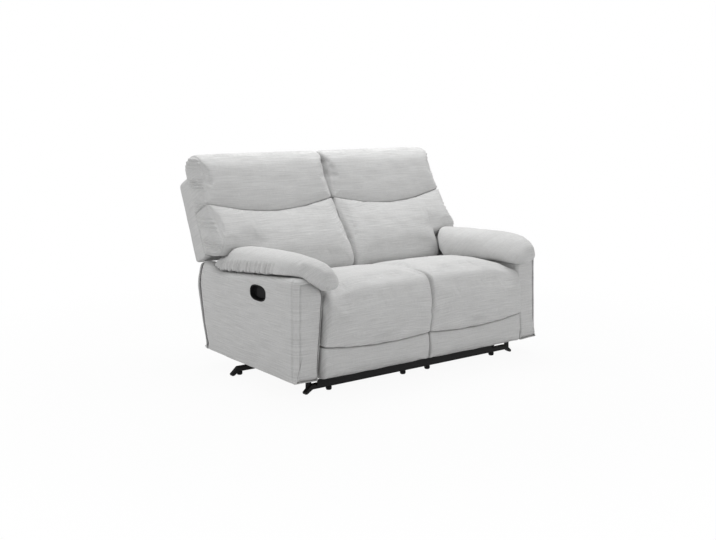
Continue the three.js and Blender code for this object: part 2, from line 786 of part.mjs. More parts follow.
function buildSeatCushion() {
  const full = ringPoints(fromShares(seatShares, [seatFront, seatBottom], [seatRear, seatCrown]), seatPoints);
  const middle = (seatFront + seatRear) / 2;
  const rings = stations(seatRows).map((place) => {
    const x = mix(seatInner, seatOuter, (place + 1) / 2);
    const height = fullness(place, seatEndHeightShare, seatEndPower);
    const depth = fullness(place, seatEndDepthShare, seatEndPower);
    return full.map(({ x: y, y: z }) => new THREE.Vector3(
      x, middle + (y - middle) * depth, seatBottom + (z - seatBottom) * height,
    ));
  });
  const ledge = block(
    [0, seatOuter + overrun], [seatFront - overrun, boardFront + boardThickness], [0, padTop + runningGap],
  );
  return cut(loft(rings), ledge);
}

// Height of the seam under the chaise pad at a place from -1 to 1 across the seat
const seamAt = (place) => seamEnd - seamDip * (1 - place * place);

function padLoft(outer, low, high, count) {
  const rings = stations(padRows).map((place) => {
    const x = mix(seatInner, outer, (place + 1) / 2);
    const full = fullness(place, padEndShare, padPower);
    const front = boardFront - gap - (boardFront - padFront) * full;
    const bulge = front - padBulge * full;
    const bottom = low(place);
    const top = high(place);
    const round = (top - bottom) * padRoundShare;
    return ringPoints([
      [boardFront - gap, bottom], [boardFront - gap, top], [front, top, round],
      [bulge, (bottom + top) / 2, 2 * round], [front, bottom, round],
    ], count).map(({ x: y, y: z }) => new THREE.Vector3(x, y, z));
  });
  return loft(rings);
}

function buildBoard() {
  return alongY(outline([
    [seatInner + boardInset, boardBottom, boardInset], [padOuter - boardInset, boardBottom, boardInset],
    [chaiseOuter - boardInset, boardTop, boardInset], [seatInner + boardInset, boardTop, boardInset],
  ]), boardFront, boardFront + boardThickness);
}

function buildFootBracket() {
  const back = boardFront + boardThickness + gap;
  const ears = railSides.flatMap((rail) => {
    const plate = layer(rail, 3);
    const ear = alongX(outline([
      [back, foot[1] - 4 * linkHalfWidth], [back + bracketPlate, foot[1] - 4 * linkHalfWidth],
      [foot[0] + linkHalfWidth, foot[1] - linkHalfWidth, linkHalfWidth],
      [foot[0] + linkHalfWidth, foot[1] + linkHalfWidth, linkHalfWidth],
      [back, foot[1] + 2 * linkHalfWidth],
    ]), ...plate);
    const strap = block(
      [plate[0] - linkHalfWidth, plate[1] + linkHalfWidth],
      [back, back + bracketPlate],
      [bracketBarZ, boardTop - boardInset],
    );
    const hole = rodX(pinHole, plate[0] - overrun, plate[1] + overrun, ...foot);
    return [cut(join(ear, strap), hole)];
  });
  const bar = block(
    [railInner, railOuter], [back, back + bracketPlate], [bracketBarZ, bracketBarZ + bracketBarHeight],
  );
  return join(...ears, bar);
}

function buildSeats() {
  const swings = [['front_swing_links', frontSwing], ['rear_swing_links', rearSwing]];
  swings.forEach(([name, low]) => {
    const high = swingTop(low);
    addPair(sofa, name, linkPair(low, high, 1, tubeMiddleShare, [[low, pinOut], [high, pinIn]]), steelBlack);
  });
  addPair(sofa, 'seat_carrier', buildCarrier(), steelBlack);
  addPair(sofa, 'seat_frame', buildSeatFrame(), plywood);
  addPair(sofa, 'seat_springs', buildSprings(), steelWire);
  addPair(sofa, 'seat_cushion', buildSeatCushion(), fabricCushion);
  const driveLinks = linkPair(drive, elbow, 3, 0, [[drive, pinOut], [elbow, pinIn]]);
  addPair(sofa, 'drive_links', driveLinks, steelBlack);
  const followerLinks = linkPair(elbow, foot, 4, tubeMiddleShare, [[foot, pinOut]], [elbow]);
  addPair(sofa, 'follower_links', followerLinks, steelBlack);
  addPair(sofa, 'footrest_bracket', buildFootBracket(), steelBlack);
  addPair(sofa, 'footrest_board', buildBoard(), plywood);
  const upper = padLoft(chaiseOuter, (place) => seamAt(place) + seamGroove / 2, () => padTop, chaisePoints);
  const lower = padLoft(padOuter, () => padBottom, (place) => seamAt(place) - seamGroove / 2, footrestPoints);
  addPair(sofa, 'chaise_pad', upper, fabricCushion);
  addPair(sofa, 'footrest_pad', lower, fabricCushion);
}

// Backs, drawn in a frame that stands on the recline hinge and leans back with it
const backFrameGroup = new THREE.Group();
backFrameGroup.position.set(0, reclineY, reclineZ);
backFrameGroup.rotation.x = -backLean;
sofa.add(backFrameGroup);

const backInner = centreGap / 2;

function backOutline(inset) {
  const round = 2 * shellWall - inset;
  return outline([
    [backInner + inset, shellBottom + inset], [backNarrow - inset, shellBottom + inset],
    [backNarrow - inset, wingBottom + inset], [backOuter - inset, wingBottom + inset, round / 2],
    [backOuter - inset, shellTop - inset, round], [backInner + inset, shellTop - inset, round],
  ]);
}

function buildShell() {
  const outer = alongY(backOutline(0), shellFront, shellRear);
  const hollow = alongY(backOutline(shellWall), shellFront - overrun, shellRear - shellWall);
  return cut(outer, hollow);
}

function buildBackFrame() {
  const inset = shellWall + gap;
  const rear = shellRear - shellWall - gap;
  const panel = alongY(backOutline(inset), rear - backBoard, rear);
  const rim = cut(
    alongY(backOutline(inset), shellFront, rear),
    alongY(backOutline(inset + backRail), shellFront - overrun, rear + overrun),
  );
  return join(panel, rim);
}

// Bottom edge of the lumbar cushion: tucked down behind the seat, rising to the wings over the arms
function lumbarBottom(x) {
  const full = mix(pillowInner, pillowOuter, wingEndShare);
  const side = easeShare(x, full * wingBendShare, full);
  return mix(lumbarTail, wingBottom + runningGap, side);
}

const smileAt = (place) => smileEnd - smileDip * (1 - place * place);

function buildLumbar() {
  const rings = stations(backRows).map((place) => {
    const x = mix(backInner, backOuter, (place + 1) / 2);
    const full = fullness(place, cushionEndShare, cushionPower);
    const front = cushionRear - lumbarDepth * full;
    const tail = cushionRear - tailDepth * full;
    const bottom = lumbarBottom(x);
    const top = smileAt(place) - gap / 2;
    const belly = mix(bottom, top, lumbarBellyShare);
    const round = (top - belly) * cushionRoundShare;
    return ringPoints([
      [cushionRear, bottom], [cushionRear, top], [front + round / 2, top, round],
      [front, (belly + top) / 2, round], [front, belly, 2 * round], [tail, bottom, round / 2],
    ], lumbarPoints).map(({ x: v, y: u }) => new THREE.Vector3(x, v, u));
  });
  return loft(rings);
}

function buildHead() {
  const rings = stations(backRows).map((place) => {
    const x = mix(backInner, backOuter, (place + 1) / 2);
    const full = fullness(place, cushionEndShare, cushionPower);
    const front = cushionRear - headDepth * full;
    const rear = shellFront - gap;
    const bottom = smileAt(place) + gap / 2;
    const top = mix(shellTop, headTop, fullness(place, headEndShare, headEndPower));
    const round = (top - bottom) * cushionRoundShare;
    return ringPoints([
      [rear, bottom], [rear, top - round / 2, round / 2], [mix(rear, front, headSlopeShare), top, round],
      [front + round / 2, top - round / 2, round], [front, mix(bottom, top, headBulgeShare), round],
      [front + round / 2, bottom, round],
    ], headPoints).map(({ x: v, y: u }) => new THREE.Vector3(x, v, u));
  });
  return loft(rings);
}

// A point of the level drawing, seen in the leaning frame of the back
function inBack([y, z]) {
  const point = new THREE.Vector2(y - reclineY, z - reclineZ).rotateAround(new THREE.Vector2(), backLean);
  return [point.x, point.y];
}

function buildBackBracket() {
  const rear = shellFront - gap;
  const pin = inBack(crankPin);
  const sides = railSides.flatMap((rail) => {
    const plate = layer(rail, 1);
    const outerFace = rail.inward > 0 ? plate[0] : plate[1];
    const neck = alongX(outline([
      [linkHalfWidth, -linkHalfWidth], [linkHalfWidth, linkHalfWidth], [0, shellBottom - linkHalfWidth],
      [rear, shellBottom - linkHalfWidth / 2], [rear, strapTop], [rear - strapThickness, strapTop],
      [rear - strapThickness, shellBottom / 2], [-linkHalfWidth, -linkHalfWidth],
    ]), ...plate);
    const strap = block(
      [plate[0] - strapWidth / 2, plate[1] + strapWidth / 2],
      [rear - strapThickness, rear],
      [shellBottom + linkHalfWidth, strapTop],
    );
    const crankArm = linkPlate([0, 0], pin, ...plate);
    const stub = rodX(pinRadius, (plate[0] + plate[1]) / 2, outerFace - rail.inward * pinOut, 0, 0);
    const hole = rodX(pinHole, plate[0] - overrun, plate[1] + overrun, ...pin);
    return [cut(join(neck, strap, crankArm, stub), hole)];
  });
  const ends = railSides.map((rail) => (layer(rail, 1)[0] + layer(rail, 1)[1]) / 2);
  return join(...sides, rodX(tubeRadius, ...ends, 0, 0));
}

function buildBacks() {
  addPair(backFrameGroup, 'back_shell', buildShell(), fabricCover);
  addPair(backFrameGroup, 'back_frame', buildBackFrame(), plywood);
  addPair(backFrameGroup, 'lumbar_cushion', buildLumbar(), fabricCushion);
  addPair(backFrameGroup, 'head_cushion', buildHead(), fabricCushion);
  addPair(backFrameGroup, 'back_bracket', buildBackBracket(), steelBlack);
  const pushPins = [[pushPin, pinOut], [crankPin, pinOut + linkLayer]];
  addPair(sofa, 'recline_links', linkPair(pushPin, crankPin, 3, tubeMiddleShare, pushPins), steelBlack);
}

buildArms();
buildBase();
buildSeats();
buildBacks();

// The origin is under the middle of the whole sofa
const bounds = new THREE.Box3().setFromObject(sofa, true);
const shift = (bounds.min.y + bounds.max.y) / 2;
sofa.position.y = -shift;
const group = new THREE.Group();
group.add(sofa);

// Hinge lines, for whoever moves the pieces
const pivot = ([y, z]) => [y - shift, z];
group.userData = {
  bounds: [bounds.min.toArray(), bounds.max.toArray()],
  shift,
  pivots: {
    frontSwing: pivot(frontSwing),
    swingTop: pivot(swingTop(frontSwing)),
    rearSwing: pivot(rearSwing),
    recline: pivot(hinge),
    crankPin: pivot(crankPin),
    pole: pivot([poleY, poleZ]),
    drive: pivot(drive),
    foot: pivot(foot),
    elbow: pivot(elbow),
    paddle: [paddleX, paddlePivotY - shift, handleZ],
  },
};

export default group;
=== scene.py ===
# Looks of the two-seat reclining sofa: upholstery, floor bars, release handles, studio.
# Metres. Shapes are written in the sofa's own frame: Y is 0 at the arms' front faces, X is 0
# between the seats. Each piece is made for the right-hand half and mirrored.
import json
import math

import bmesh
import bpy
import numpy as np
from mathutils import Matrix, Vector


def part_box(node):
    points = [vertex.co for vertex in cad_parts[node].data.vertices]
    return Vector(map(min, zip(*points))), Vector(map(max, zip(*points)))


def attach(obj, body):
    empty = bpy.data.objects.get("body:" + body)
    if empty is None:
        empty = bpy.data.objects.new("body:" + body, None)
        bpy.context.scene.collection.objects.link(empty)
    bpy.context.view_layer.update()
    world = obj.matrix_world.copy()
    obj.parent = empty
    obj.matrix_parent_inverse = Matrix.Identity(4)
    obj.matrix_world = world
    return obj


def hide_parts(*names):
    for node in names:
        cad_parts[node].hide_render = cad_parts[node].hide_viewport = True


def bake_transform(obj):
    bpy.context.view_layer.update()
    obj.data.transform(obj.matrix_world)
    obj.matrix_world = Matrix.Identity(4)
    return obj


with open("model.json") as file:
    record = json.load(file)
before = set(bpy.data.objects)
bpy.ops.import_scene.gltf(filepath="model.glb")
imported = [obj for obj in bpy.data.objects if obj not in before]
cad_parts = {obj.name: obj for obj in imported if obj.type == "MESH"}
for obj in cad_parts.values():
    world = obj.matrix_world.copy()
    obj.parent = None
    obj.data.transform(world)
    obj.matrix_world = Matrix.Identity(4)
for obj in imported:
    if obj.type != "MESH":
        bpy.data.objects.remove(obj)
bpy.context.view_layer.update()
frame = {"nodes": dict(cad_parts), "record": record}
scene = bpy.context.scene
FRONT_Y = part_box("arm_front_panel_right")[0].y
SIDES = {"right": 1, "left": -1}

# Arms
ARM_INNER, ARM_OUTER = 0.598, 0.745
ARM_DEPTH = 0.930
ARM_TOP, SKIRT = 0.530, 0.077
ARM_SEAM_Y = 0.038
ARM_RIM = 0.030
ARM_REAR_ROUNDER = 1.7
ARM_FLAT_RIM = 0.25
ARM_SWELL = 0.004

# Arm pillows: the cover is gathered along the outer lower edge between these places
GATHER_Y = (0.22, 0.72)
GATHER_WAVE, GATHER_SIZE = 0.0046, 0.0085
PILLOW_LEAN_Z = 0.54

# Release handles
HANDLE_Y, HANDLE_Z = 0.310, 0.428
HANDLE_HALF = (0.068, 0.036)
HANDLE_FLANGE = 0.004
HANDLE_DEPTH = 0.024
HANDLE_PROUD = 0.0032
HANDLE_SQUARENESS = 2.7

# Floor bars: height, place, reach and slope of the tips, and the tabs that carry the arms
BAR_Z = (0.0175, 0.0395)
FRONT_BAR_Y, REAR_BAR_Y = 0.090, 0.545
FRONT_BAR_REACH, REAR_BAR_REACH = 0.645, 0.756
BAR_SLOPE = 0.038
BAR_HALF_DEPTH = 0.012
LIP_X = (-0.585, 0.490)
FRONT_TAB_X, REAR_TAB_X = 0.617, 0.660
TAB_HALF_WIDTH, TAB_HALF_THICK = 0.015, 0.0025
ARM_TAB_TOP = 0.0766

# Seats and footrests
SEAT_X = (0.0015, 0.592)
SEAT_BOTTOM, CHAISE_BOTTOM = 0.328, 0.226
SEAT_LIMIT = 0.5965
SEAT_REAR_PINS = (0.604, 0.612)
CHAISE_REAR = 0.08
CHAISE_OUTER = 0.6065
PAD_BACK = 0.0375
SEAM_ENDS, SEAM_DIP = (0.209, 0.222), 0.020
PAD_BOTTOM = 0.073
FOOTREST_OUTER, FOOTREST_LIMIT = 0.608, 0.611

# Backs
HINGE_Y, HINGE_Z = 0.730, 0.280
LEAN = math.radians(27)
BACK_X = (0.0015, 0.760)
SHELL_OUTER = 0.752
SMILE_END, SMILE_RISE, SMILE_DIP = 0.474, 0.010, 0.054
SHELL_BOTTOM, SHELL_TOP = 0.050, 0.695
WING_BOTTOM = 0.260
BACK_NARROW = 0.588
SHELL_DEPTH = (-0.052, 0.062)
SHELL_RIM, SHELL_HOLLOW = 0.020, 0.004
SHELL_MIDDLE = (0.33, 0.42)
CUSHION_REAR = -0.0525
LUMBAR_REAR = -0.058
LUMBAR_DEPTH = 0.145
LUMBAR_BODY = 0.586
LUMBAR_ROUND, BODY_ROUND, HEAD_ROUND, OUTER_ROUND = 0.018, 0.026, 0.016, 0.022
HEAD_DEPTH = 0.145
HEAD_TOP = 0.786
BACK_SWELL = 0.006
BORDER_TURN, BORDER_DEPTH = 0.62, 0.0036
PUCKER_SIZE = 0.0042

# Gaps: skins start this far inside their space; swollen covers keep these at the middle and at a seam
SKIN = 0.001
MIDDLE_GAP = 0.0008
SEAM_GAP = 0.0003

# Cloth
SEAT_VOXEL, FINE_VOXEL = 0.007, 0.006
PRESSURE, FOOTREST_PRESSURE = 4.0, 3.0
CLOTH_FRAMES = 14


# Shapes
def outline(points, count):
    """Closed outline with rounded corners, as evenly spaced points; each corner is (across, up, radius)."""
    path = []
    total = len(points)
    for index, (a, b, radius) in enumerate(points):
        corner = np.array([a, b])
        ends = []
        for other in (points[index - 1], points[(index + 1) % total]):
            arm = np.array(other[:2]) - corner
            length = np.linalg.norm(arm)
            ends.append(corner + arm / length * min(radius, length / 2))
        steps = np.linspace(0, 1, 9)[:, None] if radius > 0 else np.array([[0.0]])
        path.extend((1 - steps) ** 2 * ends[0] + 2 * steps * (1 - steps) * corner + steps**2 * ends[1])
    path = np.array(path + [path[0]])
    lengths = np.r_[0, np.cumsum(np.linalg.norm(np.diff(path, axis=0), axis=1))]
    at = np.linspace(0, lengths[-1], count, endpoint=False)
    return np.stack([np.interp(at, lengths, path[:, axis]) for axis in (0, 1)], axis=1)


def inset(ring, distance):
    """A closed 2-D ring moved inwards by a distance, which may vary along it."""
    ahead, behind = np.roll(ring, -1, axis=0), np.roll(ring, 1, axis=0)
    along = ahead - behind
    along /= np.linalg.norm(along, axis=1)[:, None]
    normal = np.stack([along[:, 1], -along[:, 0]], axis=1)
    area = np.sum(ring[:, 0] * ahead[:, 1] - ahead[:, 0] * ring[:, 1])
    return ring - np.sign(area) * normal * np.broadcast_to(distance, len(ring))[:, None]


def stations(count):
    return -np.cos(np.pi * np.arange(count) / (count - 1))


def fullness(place, end, power):
    return end + (1 - end) * (1 - np.abs(place) ** power) ** (1 / power)


def two_ends(place, inner, outer):
    """Fullness with its own (end, power) towards the middle of the sofa and towards the arm."""
    return np.where(np.asarray(place) < 0, fullness(place, *inner), fullness(place, *outer))


def edge_share(gap, radius, depth):
    """Share of a cushion's depth that is left at a gap from its end, where the edge is round."""
    inside = 1 - np.clip(gap / radius, 0, 1)
    return 1 - radius / depth * (1 - np.sqrt(1 - inside * inside))


def mix(low, high, share):
    return low + (high - low) * share


def ease(value, low, high):
    share = np.clip((value - low) / (high - low), 0, 1)
    return share * share * (3 - 2 * share)


def make(name, points, faces):
    mesh = bpy.data.meshes.new(name)
    mesh.from_pydata([tuple(p) for p in points], [], faces)
    mesh.validate()
    body = bmesh.new()
    body.from_mesh(mesh)
    bmesh.ops.recalc_face_normals(body, faces=body.faces)
    body.to_mesh(mesh)
    body.free()
    piece = bpy.data.objects.new(name, mesh)
    scene.collection.objects.link(piece)
    return piece


def loft(name, *parts):
    """Closed skins, each through rings of equally many points and closed by a fan at each end."""
    points, faces = [], []
    for rings in parts:
        rings = np.array(rings)
        rows, size = rings.shape[:2]
        first = len(points)
        last, caps = first + (rows - 1) * size, first + rows * size
        points += list(rings.reshape(-1, 3)) + [rings[0].mean(axis=0), rings[-1].mean(axis=0)]
        for at in range(size):
            after = (at + 1) % size
            for low in range(first, last, size):
                faces.append((low + at, low + after, low + size + after, low + size + at))
            faces.append((caps, first + after, first + at))
            faces.append((caps + 1, last + at, last + after))
    return make(name, points, faces)


def get_points(piece):
    flat = np.zeros(len(piece.data.vertices) * 3)
    piece.data.vertices.foreach_get("co", flat)
    return flat.reshape(-1, 3)


def set_points(piece, points):
    piece.data.vertices.foreach_set("co", np.ascontiguousarray(points, dtype=np.float32).ravel())
    piece.data.update()


def get_normals(piece):
    flat = np.zeros(len(piece.data.vertices) * 3)
    piece.data.vertices.foreach_get("normal", flat)
    return flat.reshape(-1, 3)


def apply_modifiers(piece):
    shown = piece.evaluated_get(bpy.context.evaluated_depsgraph_get())
    mesh = bpy.data.meshes.new_from_object(shown)
    piece.modifiers.clear()
    piece.data = mesh


def subdivide(piece, levels):
    modifier = piece.modifiers.new("subdivision", "SUBSURF")
    modifier.levels = modifier.render_levels = levels
    apply_modifiers(piece)


def remesh(piece, voxel):
    modifier = piece.modifiers.new("remesh", "REMESH")
    modifier.mode = "VOXEL"
    modifier.voxel_size = voxel
    modifier.use_smooth_shade = True
    apply_modifiers(piece)


def smooth_points(piece, rounds):
    modifier = piece.modifiers.new("smooth", "SMOOTH")
    modifier.factor = 0.5
    modifier.iterations = rounds
    apply_modifiers(piece)


def puff(piece, voxel, pressure, cap, pinned):
    """Swells a cushion as a cloth skin, held where pinned(points) is 1 and moved by less than cap, and refines it."""
    remesh(piece, voxel)
    smooth_points(piece, 3)
    start = get_points(piece)
    held = np.clip(pinned(start), 0, 1)
    group = piece.vertex_groups.new(name="held")
    for level in np.unique(np.round(held, 1)):
        if level > 0:
            group.add([int(i) for i in np.nonzero(np.round(held, 1) == level)[0]], float(level), "REPLACE")
    cloth = piece.modifiers.new("cloth", "CLOTH")
    cloth.settings.quality = 4
    cloth.settings.use_pressure = True
    cloth.settings.uniform_pressure_force = pressure
    cloth.settings.effector_weights.gravity = 0
    cloth.settings.vertex_group_mass = "held"
    cloth.collision_settings.use_collision = False
    cloth.point_cache.frame_start = 1
    cloth.point_cache.frame_end = CLOTH_FRAMES
    for at in range(1, CLOTH_FRAMES + 1):
        scene.frame_set(at)
    apply_modifiers(piece)
    scene.frame_set(1)
    moved = get_points(piece) - start
    far = np.linalg.norm(moved, axis=1)
    far = np.where(far > 1e-9, far, 1e-9)
    share = cap * np.tanh(far / cap) / far
    set_points(piece, start + moved * share[:, None])
    smooth_points(piece, 2)
    subdivide(piece, 1)
    piece.vertex_groups.clear()


# Uneven padding
def wobble(points, size, seed):
    """Smooth noise between about -1 and 1 that is the same at each run."""
    turned = points / size + seed
    return (
        np.sin(turned @ np.array([2.1, 1.3, 0.7]) + np.cos(turned @ np.array([0.6, 2.3, 1.9])))
        + np.sin(turned @ np.array([-1.7, 0.9, 2.6]) + 2 * np.cos(turned @ np.array([1.1, -0.8, 1.3])))
    ) / 2


def crease(piece, size, depth, seed, where=1.0):
    """Moves the skin in and out a little, in lumps of a size, at full depth where `where` is 1."""
    points = get_points(piece)
    set_points(piece, points + get_normals(piece) * (wobble(points, size, seed) * depth * where)[:, None])


def weave_map(piece, along, across):
    """Keeps where each point lies on the flat cloth, so the weave stays on it when the piece bends."""
    points = get_points(piece)
    values = np.zeros((len(points), 3), np.float32)
    values[:, 0] = along(points)
    values[:, 1] = across(points)
    attribute = piece.data.attributes.new("cloth_place", "FLOAT_VECTOR", "POINT")
    attribute.data.foreach_set("vector", values.ravel())


def shade_smooth(piece):
    piece.data.polygons.foreach_set("use_smooth", [True] * len(piece.data.polygons))


def in_back(points):
    """From a back's own frame (across, behind, up) to the sofa frame."""
    x, v, u = points[..., 0], points[..., 1], points[..., 2]
    return np.stack([
        x,
        HINGE_Y + v * math.cos(LEAN) + u * math.sin(LEAN),
        HINGE_Z + u * math.cos(LEAN) - v * math.sin(LEAN),
    ], axis=-1)


# Materials
class Nodes:
    """Short ways to add and join shader nodes."""

    def __init__(self, name):
        self.material = bpy.data.materials.new(name)
        self.material.use_nodes = True
        self.tree = self.material.node_tree
        self.shader = self.tree.nodes["Principled BSDF"]

    def add(self, kind, **settings):
        node = self.tree.nodes.new(kind)
        for key, value in settings.items():
            setattr(node, key, value)
        return node

    def link(self, output, socket):
        self.tree.links.new(output, socket)

    def value(self, kind, first, second, third=None, clamp=False):
        node = self.add("ShaderNodeMath", operation=kind, use_clamp=clamp)
        for index, item in enumerate([first, second, third]):
            if item is None:
                continue
            if isinstance(item, (int, float)):
                node.inputs[index].default_value = item
            else:
                self.link(item, node.inputs[index])
        return node.outputs[0]

    def scaled(self, place, scale):
        node = self.add("ShaderNodeVectorMath", operation="MULTIPLY")
        self.link(place, node.inputs[0])
        node.inputs[1].default_value = scale
        return node.outputs[0]

    def noise(self, place, scale, detail=2.0):
        node = self.add("ShaderNodeTexNoise")
        node.inputs["Scale"].default_value = scale
        node.inputs["Detail"].default_value = detail
        self.link(place, node.inputs["Vector"])
        return node.outputs["Fac"]

    def blend_colour(self, share, first, second):
        node = self.add("ShaderNodeMix", data_type="RGBA")
        self.link(share, node.inputs["Factor"])
        for index, item in ((6, first), (7, second)):
            if isinstance(item, tuple):
                node.inputs[index].default_value = (*item, 1)
            else:
                self.link(item, node.inputs[index])
        return node.outputs[2]


# Fabric: thread pitch, and the colours of its darkest and lightest yarns
THREAD = 0.0022
FABRIC_DARK = (0.46, 0.46, 0.457)
FABRIC_LIGHT = (0.76, 0.76, 0.755)


def fabric(name, weft=None, warp=None):
    """Light grey weave with slub yarns. Without a weft and warp axis it reads where each point lies on the cloth."""
    made = Nodes(name)
    if weft is None:
        place = made.add("ShaderNodeAttribute", attribute_name="cloth_place").outputs["Vector"]
        split = made.add("ShaderNodeSeparateXYZ")
        made.link(place, split.inputs[0])
        along, across = split.outputs[0], split.outputs[1]
    else:
        split = made.add("ShaderNodeSeparateXYZ")
        made.link(made.add("ShaderNodeTexCoord").outputs["Object"], split.inputs[0])
        along, across = split.outputs[weft], split.outputs[warp]
    joined = made.add("ShaderNodeCombineXYZ")
    made.link(along, joined.inputs[0])
    made.link(across, joined.inputs[1])
    flat = joined.outputs[0]
    slub = made.noise(made.scaled(flat, (9, 330, 1)), 1, 3)
    fine = made.noise(made.scaled(flat, (60, 900, 1)), 1, 2)
    cross = made.noise(made.scaled(flat, (420, 30, 1)), 1, 2)
    streak = made.noise(made.scaled(flat, (5, 220, 1)), 1, 2)
    broad = made.noise(flat, 5, 2)
    turn = 2 * math.pi / THREAD
    wave_a = made.value("SINE", made.value("MULTIPLY", along, turn), None)
    wave_b = made.value("SINE", made.value("MULTIPLY", across, turn), None)
    checker = made.value("MULTIPLY", wave_a, wave_b)
    tone = made.value("MULTIPLY_ADD", slub, 0.45, made.value("MULTIPLY", fine, 0.25))
    tone = made.value("MULTIPLY_ADD", cross, 0.18, tone)
    tone = made.value("MULTIPLY_ADD", streak, 0.26, tone)
    tone = made.value("MULTIPLY_ADD", broad, 0.08, tone)
    tone = made.value("MULTIPLY_ADD", checker, 0.05, tone)
    share = made.add("ShaderNodeMapRange")
    made.link(tone, share.inputs["Value"])
    share.inputs["From Min"].default_value = 0.37
    share.inputs["From Max"].default_value = 0.82
    made.link(made.blend_colour(share.outputs[0], FABRIC_DARK, FABRIC_LIGHT), made.shader.inputs["Base Color"])
    height = made.value("MULTIPLY_ADD", checker, 0.30, made.value("MULTIPLY", slub, 1.1))
    height = made.value("MULTIPLY_ADD", fine, 0.5, height)
    bump = made.add("ShaderNodeBump")
    bump.inputs["Strength"].default_value = 0.45
    bump.inputs["Distance"].default_value = 0.0012
    made.link(height, bump.inputs["Height"])
    made.link(bump.outputs[0], made.shader.inputs["Normal"])
    made.shader.inputs["Roughness"].default_value = 0.92
    made.shader.inputs["Specular IOR Level"].default_value = 0.2
    made.shader.inputs["Sheen Weight"].default_value = 0.12
    made.shader.inputs["Sheen Roughness"].default_value = 0.6
    return made.material


def hard(name, dark, light, scale, roughness, metallic, bump_depth, specular=0.5):
    """Painted, moulded or bare surface with fine mottling, bump and uneven gloss."""
    made = Nodes(name)
    place = made.add("ShaderNodeTexCoord").outputs["Object"]
    grain = made.noise(made.scaled(place, scale), 1, 4)
    made.link(made.blend_colour(grain, dark, light), made.shader.inputs["Base Color"])
    rough = made.value("MULTIPLY_ADD", grain, 0.25, roughness - 0.12, clamp=True)
    made.link(rough, made.shader.inputs["Roughness"])
    made.shader.inputs["Metallic"].default_value = metallic
    made.shader.inputs["Specular IOR Level"].default_value = specular
    bump = made.add("ShaderNodeBump")
    bump.inputs["Strength"].default_value = 0.3
    bump.inputs["Distance"].default_value = bump_depth
    made.link(grain, bump.inputs["Height"])
    edge = made.add("ShaderNodeBevel", samples=4)
    edge.inputs["Radius"].default_value = 0.0012
    made.link(edge.outputs[0], bump.inputs["Normal"])
    made.link(bump.outputs[0], made.shader.inputs["Normal"])
    return made.material


cushion_fabric = fabric("cushion fabric")
apron_fabric = fabric("apron fabric", weft=0, warp=2)
black_steel = hard(
    "black steel", (0.006, 0.006, 0.0065), (0.014, 0.014, 0.0145), (300, 300, 300),
    roughness=0.50, metallic=0.0, bump_depth=0.0003, specular=0.15,
)
black_plastic = hard(
    "black plastic", (0.004, 0.004, 0.0045), (0.008, 0.008, 0.0085), (900, 900, 900),
    roughness=0.60, metallic=0.0, bump_depth=0.0002, specular=0.15,
)
spring_steel = hard(
    "spring steel", (0.32, 0.33, 0.34), (0.55, 0.56, 0.57), (400, 400, 400),
    roughness=0.35, metallic=1.0, bump_depth=0.0002,
)
plywood = hard(
    "plywood", (0.42, 0.27, 0.14), (0.66, 0.48, 0.29), (6, 40, 160),
    roughness=0.75, metallic=0.0, bump_depth=0.0005, specular=0.3,
)


def dress(piece, material):
    piece.data.materials.clear()
    piece.data.materials.append(material)


def mirrored(piece, name):
    copy = piece.copy()
    copy.data = piece.data.copy()
    copy.name = copy.data.name = name
    scene.collection.objects.link(copy)
    points = get_points(copy)
    points[:, 0] *= -1
    set_points(copy, points)
    copy.data.flip_normals()
    return copy


def place_pair(piece, settle, nodes):
    """Moves a right-hand piece from the sofa frame to the model's, adds its mirror image and settles both."""
    points = get_points(piece)
    points[:, 1] += FRONT_Y
    set_points(piece, points)
    shade_smooth(piece)
    pair = {"right": piece, "left": mirrored(piece, piece.name.removesuffix("_right") + "_left")}
    for side, made in pair.items():
        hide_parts(*[f"{node}_{side}" for node in nodes])
        settle(made, side)


# Seat cushion and chaise pad, one cover from the back down to the footrest seam
def seam_height(place):
    return mix(*SEAM_ENDS, (place + 1) / 2) - SEAM_DIP * (1 - place * place)


def seat_place(x):
    return 2 * (x - SEAT_X[0]) / (SEAT_X[1] - SEAT_X[0]) - 1


